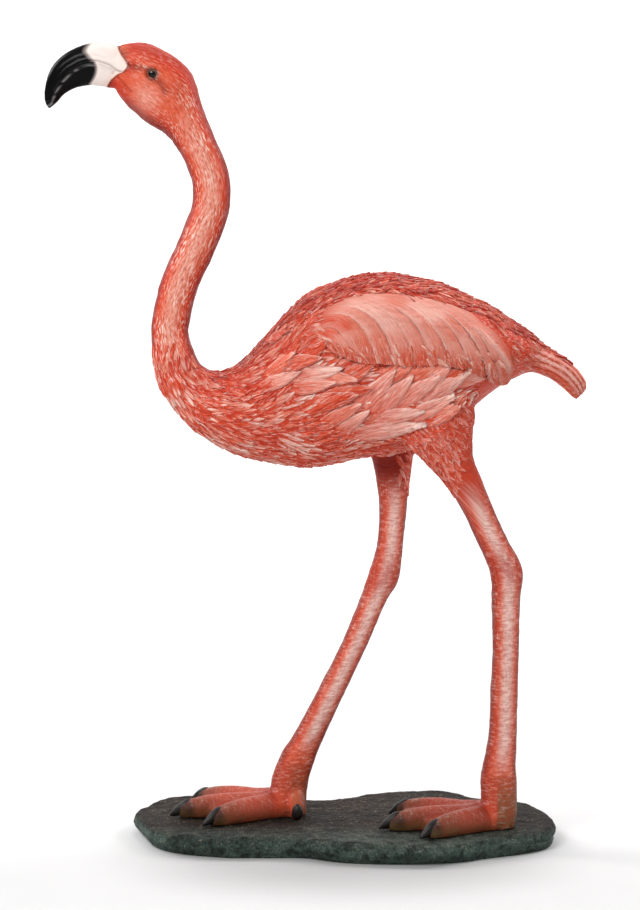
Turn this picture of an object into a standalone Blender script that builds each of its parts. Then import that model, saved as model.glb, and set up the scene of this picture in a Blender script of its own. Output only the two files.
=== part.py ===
"""Flamingo figure cast in resin, standing on a separate low slab of rock.

The figure is one casting: bill, head, neck, body, wings, tail, legs, feet and claws.
It looks along -X, its left side is towards -Y, and the origin is at the middle of the
slab's underside. The figure's form is drawn in units: it is 1020 units from its soles
to its crown, so one unit is a millimetre at the real height.
"""
import math
import random

import bmesh
import bpy
from mathutils import Vector
from mathutils.bvhtree import BVHTree

# Driving sizes, in metres
FIGURE_HEIGHT = 1.020
BASE_THICKNESS = 0.030
BASE_EDGE_ROUNDING = 0.009
BASE_MARGIN_FRONT = 0.038
BASE_MARGIN_REAR = 0.051
BASE_MARGIN_LEFT = 0.032
BASE_MARGIN_RIGHT = 0.060
SOLE_GAP = 0.0003

# Sizes of the figure that can be changed by themselves, in drawing units
DRAWN_HEIGHT = 1020
BODY_HALF_WIDTH = 90
NECK_HALF_THICKNESS = 24.5
HEAD_HALF_WIDTH = 30
BILL_HALF_WIDTH = 18
TAIL_HALF_WIDTH = 25
LEG_HALF_WIDTH = 18.5
HIP_SPREAD = 46
FOOT_SPREAD = 34
WING_SWELL = 9
FEATHER_RISE = 6
EYE_RADIUS = 9
EYE_PLACE = (-245, 976)
CLAW_LENGTH = 18
CLAW_HALF_WIDTH = 5
TOE_HALF_WIDTH = 15
TOE_HEIGHT = 30
WEB_THICKNESS = 21

# Sections of the trunk: a point on the back, a point on the front or belly (x and z of
# each), and the half width as a share of the widest place of that stretch
HEAD_SECTIONS = [
    (-285, 1016, -293, 956, 0.66),
    (-265, 1018, -281, 939, 0.86),
    (-247, 1015, -268, 927, 0.96),
    (-229, 1006, -257, 918, 1.00),
    (-211, 995, -244, 909, 0.99),
    (-197, 980, -234, 904, 0.95),
    (-189, 962, -227, 898, 0.90),
    (-183, 938, -221, 891, 0.85),
]
NECK_LINE = [(-194, 896), (-187, 883), (-178, 863), (-172, 843), (-171, 821), (-175, 797),
             (-193, 753), (-213, 709), (-224, 665), (-226, 641), (-224, 620)]
BREAST_SECTIONS = [
    (-190, 609, -245, 592, 0.32),
    (-179, 599, -236, 568, 0.37),
    (-169, 595, -220, 545, 0.43),
    (-156, 596, -199, 522, 0.52),
    (-140, 603, -173, 504, 0.62),
    (-123, 617, -141, 487, 0.72),
]
BODY_SECTIONS = [
    (-103, 639, -107, 479, 0.81),
    (-76, 669, -73, 473, 0.89),
    (-47, 695, -41, 471, 0.95),
    (-12, 710, -10, 476, 0.99),
    (23, 720, 24, 483, 1.00),
    (60, 722, 58, 486, 1.00),
    (92, 716, 87, 494, 0.98),
    (125, 709, 113, 506, 0.94),
    (157, 695, 141, 526, 0.85),
    (190, 680, 169, 549, 0.71),
    (219, 661, 196, 571, 0.55),
    (242, 645, 219, 585, 0.42),
]
TAIL_SECTIONS = [
    (259, 630, 243, 594, 1.05),
    (281, 616, 266, 587, 0.98),
    (300, 602, 282, 576, 0.84),
    (313, 586, 295, 565, 0.58),
    (317, 573, 303, 558, 0.30),
]
BILL_SECTIONS = [
    (-280, 1010, -286, 960, 1.00),
    (-307, 1019, -307, 961, 1.00),
    (-325, 1018, -325, 963, 0.96),
    (-340, 1014, -341, 961, 0.88),
    (-356, 1006, -352, 957, 0.80),
    (-370, 994, -362, 951, 0.68),
    (-379, 980, -369, 943, 0.54),
    (-384, 963, -376, 937, 0.38),
    (-386, 948, -381, 934, 0.22),
]

# Legs: x, z and the half thickness along X, from inside the body down to the sole
LEFT_LEG = [(116, 606, 14), (118, 580, 40), (118, 548, 50), (120, 515, 46), (132, 486, 35),
            (152.5, 457, 25.5), (173, 418, 21),
            (192, 378, 21), (202, 359, 22), (210, 339, 22), (211, 320, 20), (210, 300, 19),
            (210.5, 241, 17.5), (209, 181, 18), (207.5, 122, 18.5), (203.5, 82, 21.5),
            (202.5, 62, 24), (203.5, 42, 23.5), (204, 18, 23), (202, -8, 20)]
RIGHT_LEG = [(66, 606, 14), (64, 580, 40), (62, 548, 48), (62, 515, 42), (64, 484, 30),
             (65, 450, 22), (66, 410, 18.5),
             (63, 370, 17.5), (60, 350, 18.5), (56, 330, 20.5), (50, 309, 21.5), (39, 286, 18.5),
             (15, 229, 18), (-14.5, 168, 19), (-45, 107, 21), (-56, 87, 23.5), (-64.5, 66, 24.5),
             (-71, 46, 25), (-74, 18, 25), (-74, -8, 25)]

# Front toes of each foot: turn from straight ahead towards the bird's right in degrees,
# reach from the ankle to the claw's root. Where the feet stand follows from the legs above.
LEFT_TOES = [(24, 136), (-7, 140), (-33, 107)]
RIGHT_TOES = [(24, 130), (-7, 141), (-33, 114)]
HIND_TOE_TURN = 95
HIND_TOE_REACH = 34
ANKLE_HEIGHT = 26
STANCE_FRONT = -245
STANCE_REAR = 232
STANCE_LEFT = -98
STANCE_RIGHT = 110

# Wing: x, then the upper and the lower edge seen from the side
WING_EDGES = [(-42, 664, 650), (-30, 680, 634), (-8, 692, 617), (24, 699, 609), (71, 700, 606),
              (122, 691, 605), (160, 676, 597), (192, 655, 584), (208, 636, 581), (217, 617, 590)]

# Rows of carved feathers on each flank: x and z of the first and the last feather's root,
# length, half width, and the rise of the first and the last one in degrees; then how many
FEATHER_ROWS = [
    ((-100, 640), (-30, 655), 44, 9, 8, 22),
    ((-108, 604), (-28, 612), 48, 10, 12, 20),
    ((-112, 578), (-30, 590), 50, 10, 8, 14),
    ((-104, 556), (-14, 562), 50, 10, -2, 22),
    ((-66, 540), (14, 540), 50, 11, 4, 44),
    ((-30, 514), (72, 508), 58, 12, 12, 16),
    ((36, 586), (128, 586), 50, 12, 28, 30),
    ((34, 548), (112, 558), 64, 13, 34, 34),
    ((62, 530), (110, 532), 62, 13, 30, 32),
]
FEATHER_COUNTS = [4, 4, 4, 4, 4, 4, 5, 4, 3]
# Rows along the back, from the neck's root to the tail's: how far down the flank they
# lie as an angle from the top, length and half width; then how many
BACK_ROWS = [(10, 30, 7), (24, 30, 7)]
BACK_COUNTS = [17, 16]
BACK_CORE_DEPTH = 60
BEYOND_BODY = 300
BACK_FROM = (-112, 620)
BACK_TO = (250, 640)
RANDOM_SEED = 11

# How finely the casting is drawn
GRAIN = 2.6
KEPT_SHARE = 0.036
RING_SIDES = 40

UNIT = FIGURE_HEIGHT / DRAWN_HEIGHT
BASE_LENGTH = (STANCE_REAR - STANCE_FRONT) * UNIT + BASE_MARGIN_FRONT + BASE_MARGIN_REAR
BASE_DEPTH = (STANCE_RIGHT - STANCE_LEFT) * UNIT + BASE_MARGIN_LEFT + BASE_MARGIN_RIGHT
FIGURE_X = -BASE_LENGTH / 2 + BASE_MARGIN_FRONT - STANCE_FRONT * UNIT
FIGURE_Y = -BASE_DEPTH / 2 + BASE_MARGIN_LEFT - STANCE_LEFT * UNIT
SOLE_Z = BASE_THICKNESS + SOLE_GAP


def clear_scene():
    for item in list(bpy.data.objects):
        bpy.data.objects.remove(item, do_unlink=True)


def new_collection(name):
    collection = bpy.data.collections.new(name)
    bpy.context.scene.collection.children.link(collection)
    return collection


def paint(name, colour, roughness):
    material = bpy.data.materials.new(name)
    material.use_nodes = True
    shader = material.node_tree.nodes["Principled BSDF"]
    shader.inputs["Base Color"].default_value = (*colour, 1.0)
    shader.inputs["Roughness"].default_value = roughness
    shader.inputs["Metallic"].default_value = 0.0
    return material


def smooth_run(rows, steps):
    """Rows of numbers along a smooth curve through the given rows."""
    run = []
    last = len(rows) - 1
    for i in range(last):
        before = rows[max(i - 1, 0)]
        start = rows[i]
        end = rows[i + 1]
        after = rows[min(i + 2, last)]
        for k in range(steps):
            t = k / steps
            run.append([
                0.5 * (2 * b + (c - a) * t + (2 * a - 5 * b + 4 * c - d) * t * t
                       + (3 * b - a - 3 * c + d) * t ** 3)
                for a, b, c, d in zip(before, start, end, after)])
    run.append(list(rows[last]))
    return run


def loft(mesh, rings):
    """Close a run of rings, each with as many points, into a tube with capped ends."""
    loops = [[mesh.verts.new(p) for p in ring] for ring in rings]
    count = len(loops[0])
    for near, far in zip(loops, loops[1:]):
        for i in range(count):
            j = (i + 1) % count
            mesh.faces.new((near[i], near[j], far[j], far[i]))
    for loop, turned in ((loops[0], True), (loops[-1], False)):
        middle = mesh.verts.new(sum((v.co for v in loop), Vector()) / count)
        for i in range(count):
            j = (i + 1) % count
            corner = (loop[j], loop[i]) if turned else (loop[i], loop[j])
            mesh.faces.new((*corner, middle))


def trunk_ring(back_x, back_z, front_x, front_z, half_width, fullness):
    """One section of the trunk: an egg that is fuller above when fullness is over 0."""
    middle = Vector(((back_x + front_x) / 2, 0, (back_z + front_z) / 2))
    rise = Vector(((back_x - front_x) / 2, 0, (back_z - front_z) / 2))
    ring = []
    for k in range(RING_SIDES):
        turn = 2 * math.pi * k / RING_SIDES
        up = math.cos(turn)
        side = math.sin(turn) * (1 + fullness * up)
        ring.append(middle + rise * up + Vector((0, half_width * side, 0)))
    return ring


def neck_sections():
    """The neck's sections, square to its middle line."""
    sections = []
    line = [Vector((x, 0, z)) for x, z in NECK_LINE]
    for i in range(1, len(line) - 1):
        along = (line[i + 1] - line[i - 1]).normalized()
        across = Vector((-along.z, 0, along.x)) * NECK_HALF_THICKNESS
        back = line[i] + across
        front = line[i] - across
        sections.append((back.x, back.z, front.x, front.z, NECK_HALF_THICKNESS, 0))
    return sections


def scaled_sections(sections, half_width, fullness):
    return [(a, b, c, d, share * half_width, fullness) for a, b, c, d, share in sections]


def make_trunk(mesh):
    """Head, neck, breast, body and tail as one tube along the bird."""
    sections = (scaled_sections(HEAD_SECTIONS, HEAD_HALF_WIDTH, 0)
                + neck_sections()
                + scaled_sections(BREAST_SECTIONS, BODY_HALF_WIDTH, 0.04)
                + scaled_sections(BODY_SECTIONS, BODY_HALF_WIDTH, 0.10)
                + scaled_sections(TAIL_SECTIONS, TAIL_HALF_WIDTH, 0))
    loft(mesh, [trunk_ring(*row) for row in smooth_run(sections, 4)])


def make_bill(mesh):
    sections = scaled_sections(BILL_SECTIONS, BILL_HALF_WIDTH, 0.05)
    loft(mesh, [trunk_ring(*row) for row in smooth_run(sections, 3)])


def ball(mesh, place, radii):
    made = bmesh.ops.create_uvsphere(mesh, u_segments=16, v_segments=10, radius=1)
    for vert in made["verts"]:
        vert.co = Vector(place) + Vector((v * r for v, r in zip(vert.co, radii)))


def make_leg(mesh, rows, side):
    """A leg with level sections, from the hip to the sole."""
    top = rows[0][1]
    rings = []
    for x, z, half_x in smooth_run(rows, 3):
        share = min(max(z / top, 0), 1)
        y = side * (FOOT_SPREAD + (HIP_SPREAD - FOOT_SPREAD) * share)
        half_y = min(half_x, 0.2 * half_x + 0.8 * LEG_HALF_WIDTH)
        rings.append([Vector((x + half_x * math.cos(t), y + half_y * math.sin(t), z))
                      for t in (2 * math.pi * k / 24 for k in range(24))])
    loft(mesh, rings)


def toe_rings(ankle, turn, stations):
    """Upright sections across a toe: reach, half width, underside and top of each."""
    ahead = Vector((-math.cos(turn), math.sin(turn), 0))
    across = Vector((ahead.y, -ahead.x, 0))
    rings = []
    for reach, half_width, low, high in smooth_run(stations, 3):
        middle = ankle + ahead * reach + Vector((0, 0, (low + high) / 2))
        rings.append([middle + across * half_width * math.cos(t)
                      + Vector((0, 0, (high - low) / 2 * math.sin(t)))
                      for t in (2 * math.pi * k / 16 for k in range(16))])
    return rings


def make_foot(mesh, leg, toes, side):
    """Three webbed front toes with claws, and a small hind toe on the inner side."""
    ankle = Vector((leg[-1][0], side * FOOT_SPREAD, 0))
    half = TOE_HALF_WIDTH
    tip = CLAW_HALF_WIDTH
    for degrees, reach in toes:
        turn = math.radians(degrees)
        toe = [(-6, half + 5, -8, ANKLE_HEIGHT + 14), (14, half + 4, -8, ANKLE_HEIGHT + 9),
               (0.35 * reach, half + 1, -7, TOE_HEIGHT), (0.55 * reach, half + 1, -7, TOE_HEIGHT),
               (0.75 * reach, half, -6, TOE_HEIGHT - 2), (0.9 * reach, half - 2, -6, TOE_HEIGHT - 6),
               (reach, half - 5, -4, TOE_HEIGHT - 11), (reach + 5, half - 9, 0, TOE_HEIGHT - 15)]
        loft(mesh, toe_rings(ankle, turn, toe))
        claw = [(reach - 5, tip, 5, TOE_HEIGHT - 8), (reach + 0.35 * CLAW_LENGTH, tip, 4, TOE_HEIGHT - 12),
                (reach + 0.7 * CLAW_LENGTH, tip * 0.7, 1, TOE_HEIGHT - 18),
                (reach + CLAW_LENGTH, tip * 0.3, 0, 5)]
        loft(mesh, toe_rings(ankle, turn, claw))
    for (first, first_reach), (second, second_reach) in zip(toes, toes[1:]):
        middle = math.radians((first + second) / 2)
        spread = math.radians(abs(first - second)) / 2
        reach = 0.88 * min(first_reach, second_reach)
        flare = math.tan(spread)
        web = [(10, 10, -6, WEB_THICKNESS + 14), (0.5 * reach, 0.5 * reach * flare, -6, WEB_THICKNESS + 4),
               (reach, reach * flare, -6, WEB_THICKNESS - 4),
               (reach + 6, 0.8 * reach * flare, -4, WEB_THICKNESS - 10)]
        loft(mesh, toe_rings(ankle, middle, web))

    inward = math.radians(-side * HIND_TOE_TURN)
    hind = [(0, 12, 0, 46), (0.5 * HIND_TOE_REACH, 11, -4, 38), (0.85 * HIND_TOE_REACH, 9, -4, 28),
            (HIND_TOE_REACH, 7, 0, 20)]
    root = ankle + Vector((10, 0, 0))
    loft(mesh, toe_rings(root, inward, hind))
    claw_place = root + Vector((-math.cos(inward), math.sin(inward), 0)) * HIND_TOE_REACH
    claw_place.z = 10.5
    ball(mesh, claw_place, (7.5, 6, 10.5))


def surface_y(skin, x, z, side):
    """How far out the trunk's side lies at x, z; off the trunk, the nearest place's."""
    far = 4 * BODY_HALF_WIDTH
    hit = skin.ray_cast(Vector((x, side * far, z)), Vector((0, -side, 0)))[0]
    if hit is None:
        hit = skin.find_nearest(Vector((x, side * BODY_HALF_WIDTH / 2, z)))[0]
    return hit.y


def shell(mesh, outer, inner):
    """A closed pad between two grids of points with the same rows and columns."""
    rows = len(outer)
    columns = len(outer[0])
    sheets = [[[mesh.verts.new(p) for p in row] for row in grid] for grid in (outer, inner)]
    top, bottom = sheets
    for i in range(rows - 1):
        for j in range(columns - 1):
            mesh.faces.new((top[i][j], top[i + 1][j], top[i + 1][j + 1], top[i][j + 1]))
            mesh.faces.new((bottom[i][j], bottom[i][j + 1], bottom[i + 1][j + 1], bottom[i + 1][j]))
    rim = ([(i, 0) for i in range(rows)] + [(rows - 1, j) for j in range(1, columns)]
           + [(i, columns - 1) for i in range(rows - 2, -1, -1)]
           + [(0, j) for j in range(columns - 2, 0, -1)])
    for k, (i, j) in enumerate(rim):
        m, n = rim[(k + 1) % len(rim)]
        mesh.faces.new((top[i][j], bottom[i][j], bottom[m][n], top[m][n]))


def make_wing(mesh, skin, side):
    """The folded wing: a smooth swell that follows the flank and ends in a blunt tip."""
    outer = []
    inner = []
    rows = smooth_run(WING_EDGES, 2)
    for i, (x, upper, lower) in enumerate(rows):
        along = i / (len(rows) - 1)
        end = min(1, 6 * along, 0.55 + 4 * (1 - along))
        top_row = []
        under_row = []
        for k in range(9):
            v = k / 8
            z = lower + (upper - lower) * v
            y = surface_y(skin, x, z, side)
            crown = (1 - abs(2 * v - 1) ** 2.6) ** 0.5
            low_edge = 0.6 * max(0, 1 - 2 * v)
            swell = WING_SWELL * end * max(crown, low_edge)
            top_row.append(Vector((x, y + side * swell, z)))
            under_row.append(Vector((x, y - side * 8, z)))
        outer.append(top_row)
        inner.append(under_row)
    shell(mesh, outer, inner)


def feather_half_width(t):
    """Leaf shape: from a narrow root to its widest place and on to a rounded point."""
    return max(math.sin(math.pi * t ** 0.85) ** 0.7, 0.35 * (1 - t))


def make_feather(mesh, place, length, half_width, rise):
    """A carved feather; place turns a point along and across it to a point and a way out."""
    outer = []
    inner = []
    for i in range(7):
        t = i / 6
        width = half_width * feather_half_width(min(t, 0.97))
        top_row = []
        under_row = []
        for k in range(5):
            v = k / 2 - 1
            point, outward = place(length * t, width * v)
            lift = rise * (0.15 + 0.85 * t ** 1.3) * (1 - 0.45 * v * v)
            top_row.append(point + outward * lift)
            under_row.append(point - outward * 5)
        outer.append(top_row)
        inner.append(under_row)
    shell(mesh, outer, inner)


def make_flank_feathers(mesh, skin, side, chance):
    for row, count in zip(FEATHER_ROWS, FEATHER_COUNTS):
        first, last, length, half_width, first_turn, last_turn = row
        for k in range(count):
            share = k / (count - 1)
            root_x = first[0] + (last[0] - first[0]) * share + chance.uniform(-3, 3)
            root_z = first[1] + (last[1] - first[1]) * share + chance.uniform(-3, 3)
            turn = math.radians(first_turn + (last_turn - first_turn) * share + chance.uniform(-4, 4))
            size = chance.uniform(0.92, 1.08)

            def place(along, across):
                x = root_x + along * math.cos(turn) - across * math.sin(turn)
                z = root_z + along * math.sin(turn) + across * math.cos(turn)
                return Vector((x, surface_y(skin, x, z, side), z)), Vector((0, side, 0))

            make_feather(mesh, place, length * size, half_width * size, FEATHER_RISE)


def make_back_feathers(mesh, skin, side, chance):
    """Small pointed feathers in rows from the neck's root over the back to the tail."""
    start = Vector((BACK_FROM[0], 0, BACK_FROM[1] - BACK_CORE_DEPTH))
    stop = Vector((BACK_TO[0], 0, BACK_TO[1] - BACK_CORE_DEPTH))
    for (degrees, length, half_width), count in zip(BACK_ROWS, BACK_COUNTS):
        for k in range(count):
            share = (k + 0.5 * (degrees > 15)) / count
            core = start.lerp(stop, share)
            tilt = side * math.radians(degrees + chance.uniform(-3, 3))

            def place(along, across):
                spot = core + Vector((along, 0, 0))
                angle = tilt + across / BODY_HALF_WIDTH
                out = Vector((0, math.sin(angle), math.cos(angle)))
                hit, normal = skin.ray_cast(spot + out * BEYOND_BODY, -out)[:2]
                if hit is None:
                    hit, normal = skin.find_nearest(spot + out * BACK_CORE_DEPTH)[:2]
                return hit, normal

            make_feather(mesh, place, length, half_width, 0.8 * FEATHER_RISE)


def make_flamingo(collection, cutters):
    skin_mesh = bmesh.new()
    make_trunk(skin_mesh)
    bmesh.ops.recalc_face_normals(skin_mesh, faces=skin_mesh.faces)
    skin = BVHTree.FromBMesh(skin_mesh)
    chance = random.Random(RANDOM_SEED)
    body = skin_mesh
    make_bill(body)
    make_leg(body, LEFT_LEG, -1)
    make_leg(body, RIGHT_LEG, 1)
    make_foot(body, LEFT_LEG, LEFT_TOES, -1)
    make_foot(body, RIGHT_LEG, RIGHT_TOES, 1)
    for side in (-1, 1):
        ball(body, (EYE_PLACE[0], side * (HEAD_HALF_WIDTH - 6), EYE_PLACE[1]), (EYE_RADIUS, EYE_RADIUS, EYE_RADIUS))
        make_wing(body, skin, side)
        make_flank_feathers(body, skin, side, chance)
        make_back_feathers(body, skin, side, chance)
    bmesh.ops.recalc_face_normals(body, faces=body.faces)
    for vert in body.verts:
        vert.co *= UNIT
    data = bpy.data.meshes.new("flamingo")
    body.to_mesh(data)
    body.free()
    flamingo = bpy.data.objects.new("flamingo", data)
    flamingo.location = (FIGURE_X, FIGURE_Y, SOLE_Z)
    collection.objects.link(flamingo)
    data.materials.append(paint("painted resin", (0.62, 0.14, 0.10), 0.42))

    fuse = flamingo.modifiers.new("cast as one", "REMESH")
    fuse.mode = "VOXEL"
    fuse.voxel_size = GRAIN * UNIT
    fuse.use_smooth_shade = True
    soften = flamingo.modifiers.new("softened", "SMOOTH")
    soften.factor = 0.5
    soften.iterations = 2
    thin = flamingo.modifiers.new("fewer faces", "DECIMATE")
    thin.ratio = KEPT_SHARE
    thin.use_collapse_triangulate = True
    level = flamingo.modifiers.new("flat soles", "BOOLEAN")
    level.operation = "DIFFERENCE"
    level.solver = "EXACT"
    level.object = make_sole_cutter(cutters)
    return flamingo


def make_sole_cutter(cutters):
    """A block whose top is the level that the soles stand on."""
    depth = 0.04 * FIGURE_HEIGHT
    bpy.ops.mesh.primitive_cube_add(size=1, location=(0, 0, SOLE_Z - depth / 2))
    cutter = bpy.context.object
    cutter.name = "sole cutter"
    cutter.scale = (2 * BASE_LENGTH, 2 * BASE_DEPTH, depth)
    cutter.hide_render = True
    cutter.display_type = "WIRE"
    for collection in list(cutter.users_collection):
        collection.objects.unlink(cutter)
    cutters.objects.link(cutter)
    return cutter


# The slab's outline from above, as shares of its half length and half depth
BASE_OUTLINE = [(-1.00, 0.14), (-0.97, 0.42), (-0.88, 0.68), (-0.76, 0.81), (-0.59, 0.82),
                (-0.39, 0.75), (-0.17, 0.68), (0.00, 0.74), (0.15, 0.89), (0.29, 0.98),
                (0.43, 1.00), (0.56, 0.90), (0.68, 0.72), (0.80, 0.63), (0.90, 0.54),
                (0.97, 0.30), (1.00, -0.08), (0.97, -0.40), (0.86, -0.60), (0.65, -0.76),
                (0.51, -0.92), (0.36, -1.00), (0.12, -0.95), (-0.08, -0.88), (-0.22, -0.76),
                (-0.40, -0.71), (-0.60, -0.73), (-0.80, -0.60), (-0.92, -0.32)]


def make_base(collection):
    """The slab: a flat top and underside, and a soft, uneven edge all round."""
    closed = BASE_OUTLINE[-1:] + BASE_OUTLINE + BASE_OUTLINE[:2]
    steps = 4
    outline = smooth_run(closed, steps)[steps:-2 * steps]
    rounding = min(BASE_EDGE_ROUNDING, 0.45 * BASE_THICKNESS)
    profile = [(1.7, 0.0), (0.75, 0.16), (0.1, 0.42), (0.0, 0.66), (0.35, 0.9), (1.0, 1.0)]
    rings = []
    for inset, height in profile:
        ring = []
        for k, (u, v) in enumerate(outline):
            edge = Vector((u * BASE_LENGTH / 2, v * BASE_DEPTH / 2, 0))
            wave = 1 + 0.35 * math.sin(k * 0.55) + 0.25 * math.sin(k * 0.23 + 1)
            pulled = edge * (1 - inset * rounding * wave / edge.length)
            ring.append(Vector((pulled.x, pulled.y, height * BASE_THICKNESS)))
        rings.append(ring)
    mesh = bmesh.new()
    loft(mesh, rings)
    bmesh.ops.recalc_face_normals(mesh, faces=mesh.faces)
    data = bpy.data.meshes.new("base")
    mesh.to_mesh(data)
    mesh.free()
    data.shade_smooth()
    data.set_sharp_from_angle(angle=math.radians(40))
    base = bpy.data.objects.new("base", data)
    collection.objects.link(base)
    data.materials.append(paint("painted rock resin", (0.055, 0.065, 0.06), 0.7))
    return base


clear_scene()
figure_parts = new_collection("flamingo sculpture")
cutter_parts = new_collection("cutters")
cutter_parts.hide_render = True
make_base(figure_parts)
make_flamingo(figure_parts, cutter_parts)
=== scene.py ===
"""Looks of the painted resin flamingo on its rock slab."""
import math
import random

import bmesh
import bpy
import numpy as np
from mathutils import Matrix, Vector
from mathutils.bvhtree import BVHTree


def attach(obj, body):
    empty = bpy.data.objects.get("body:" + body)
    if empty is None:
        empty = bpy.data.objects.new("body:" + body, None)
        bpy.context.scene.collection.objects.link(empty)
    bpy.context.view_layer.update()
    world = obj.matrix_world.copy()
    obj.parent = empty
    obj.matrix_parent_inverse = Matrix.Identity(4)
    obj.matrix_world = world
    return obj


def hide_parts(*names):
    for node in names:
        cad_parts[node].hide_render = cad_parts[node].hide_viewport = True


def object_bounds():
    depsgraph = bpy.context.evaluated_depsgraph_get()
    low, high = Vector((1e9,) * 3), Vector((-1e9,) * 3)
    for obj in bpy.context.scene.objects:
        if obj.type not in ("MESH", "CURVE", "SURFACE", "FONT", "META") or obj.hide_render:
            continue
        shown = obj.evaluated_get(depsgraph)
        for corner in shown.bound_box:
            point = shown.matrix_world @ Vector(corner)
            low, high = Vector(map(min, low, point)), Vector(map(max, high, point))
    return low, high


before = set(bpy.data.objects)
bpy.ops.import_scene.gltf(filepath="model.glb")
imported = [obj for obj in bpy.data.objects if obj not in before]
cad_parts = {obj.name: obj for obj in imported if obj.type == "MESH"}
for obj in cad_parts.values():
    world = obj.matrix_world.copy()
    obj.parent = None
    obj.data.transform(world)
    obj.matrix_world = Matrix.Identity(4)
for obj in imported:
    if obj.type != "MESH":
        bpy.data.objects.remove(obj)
cad_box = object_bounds()

# Studio
# A long lens a little above the height of the bird's back, and a white sweep of paper
# under and behind the slab, lit by large soft boxes.
CAMERA_DISTANCE = 3.0
CAMERA_HEIGHT = 0.7958
AIM_HEIGHT = 0.514
CAMERA_SIDE = -0.031
LENS = 90.6
SENSOR = 36

camera = bpy.data.cameras.new("camera")
camera.sensor_fit = "VERTICAL"
camera.sensor_height = SENSOR
camera.lens = LENS
camera_object = bpy.data.objects.new("camera", camera)
bpy.context.scene.collection.objects.link(camera_object)
camera_object.location = (CAMERA_SIDE, -CAMERA_DISTANCE, CAMERA_HEIGHT)
pitch = math.atan2(CAMERA_HEIGHT - AIM_HEIGHT, CAMERA_DISTANCE)
camera_object.rotation_euler = (math.pi / 2 - pitch, 0, 0)
bpy.context.scene.camera = camera_object
bpy.context.scene.view_settings.view_transform = "Standard"


def linear(code):
    """An sRGB hex colour as linear red, green and blue."""
    parts = [int(code[i:i + 2], 16) / 255 for i in (1, 3, 5)]
    return np.array([p / 12.92 if p <= 0.04045 else ((p + 0.055) / 1.055) ** 2.4 for p in parts])


def add_node(tree, kind, values=None, **settings):
    """Adds a node; values go to its sockets by name or number, and a socket is linked."""
    node = tree.nodes.new(kind)
    for name, setting in settings.items():
        setattr(node, name, setting)
    for name, value in (values or {}).items():
        if isinstance(value, bpy.types.NodeSocket):
            tree.links.new(value, node.inputs[name])
        else:
            node.inputs[name].default_value = value
    return node


def new_material(name):
    """A material with its shader, ready for nodes."""
    material = bpy.data.materials.new(name)
    material.use_nodes = True
    return material, material.node_tree, material.node_tree.nodes["Principled BSDF"]


def set_ramp(ramp, stops):
    """Gives a colour ramp its stops, each a place and a grey or a hex colour."""
    elements = ramp.color_ramp.elements
    while len(elements) < len(stops):
        elements.new(0.5)
    for element, (place, colour) in zip(elements, stops):
        element.position = place
        element.color = (*linear(colour), 1) if isinstance(colour, str) else (colour, colour, colour, 1)


# Matt paper has no shine, and it glows more towards the back, so that it fades to white.
paper, paper_tree, paper_shader = new_material("matt white paper")
paper_grain = add_node(paper_tree, "ShaderNodeTexNoise", {"Scale": 60.0, "Detail": 2.0})
paper_tone = add_node(paper_tree, "ShaderNodeValToRGB", {"Fac": paper_grain.outputs["Fac"]})
set_ramp(paper_tone, [(0.0, 0.60), (1.0, 0.63)])
# A faint grey on the sheet in front of the slab deepens the slab's soft shadow there.
SHADE_REACH = (0.38, 0.26)
SHADE_MIDDLE = -0.10
paper_in = add_node(paper_tree, "ShaderNodeTexCoord").outputs["Object"]
paper_place = add_node(paper_tree, "ShaderNodeMapping", {
    "Vector": paper_in,
    "Location": (0, -SHADE_MIDDLE / SHADE_REACH[1], 0), "Scale": (1 / SHADE_REACH[0], 1 / SHADE_REACH[1], 0)})
paper_off = add_node(paper_tree, "ShaderNodeVectorMath", {0: paper_place.outputs[0]}, operation="LENGTH")
paper_shade = add_node(paper_tree, "ShaderNodeMapRange", {
    "Value": paper_off.outputs["Value"], "From Min": 0.32, "From Max": 0.92, "To Min": 0.70,
    "To Max": 1.0}, interpolation_type="SMOOTHSTEP")
paper_grey = add_node(paper_tree, "ShaderNodeVectorMath", {
    0: paper_tone.outputs["Color"], "Scale": paper_shade.outputs[0]}, operation="SCALE")
paper_tree.links.new(paper_grey.outputs[0], paper_shader.inputs["Base Color"])
paper_shader.inputs["Roughness"].default_value = 0.9
paper_shader.inputs["Specular IOR Level"].default_value = 0.0
paper_shader.inputs["Emission Color"].default_value = (1, 1, 1, 1)
paper_side = add_node(paper_tree, "ShaderNodeSeparateXYZ", {0: paper_in})
paper_glow = add_node(paper_tree, "ShaderNodeMapRange", {
    "Value": paper_side.outputs["Y"], "From Min": 0.6, "From Max": 2.6, "To Min": 0.05, "To Max": 0.35})
paper_tree.links.new(paper_glow.outputs["Result"], paper_shader.inputs["Emission Strength"])

# The paper hangs from behind and sweeps forward under the slab in one bend.
SWEEP_DEPTH = 2.6
SWEEP_BEND = 0.7
BEND_STEPS = 12
PAPER_SIZE = 10
bpy.ops.object.select_all(action="DESELECT")
bpy.ops.mesh.primitive_plane_add(size=PAPER_SIZE, location=(0, SWEEP_DEPTH - PAPER_SIZE / 2, 0))
sweep = bpy.context.object
sweep.name = "paper_sweep"
bpy.ops.object.mode_set(mode="EDIT")
bpy.ops.mesh.select_all(action="DESELECT")
bpy.ops.object.mode_set(mode="OBJECT")
for edge in sweep.data.edges:
    edge.select = all(sweep.data.vertices[v].co.y > 0 for v in edge.vertices)
bpy.ops.object.mode_set(mode="EDIT")
bpy.ops.mesh.select_mode(type="EDGE")
for step in range(BEND_STEPS):
    low = math.radians(step * 90 / BEND_STEPS)
    high = math.radians((step + 1) * 90 / BEND_STEPS)
    bpy.ops.mesh.extrude_region_move(TRANSFORM_OT_translate={"value": (
        0, SWEEP_BEND * (math.sin(high) - math.sin(low)), SWEEP_BEND * (math.cos(low) - math.cos(high)))})
bpy.ops.mesh.extrude_region_move(TRANSFORM_OT_translate={"value": (0, 0, PAPER_SIZE / 2)})
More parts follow.
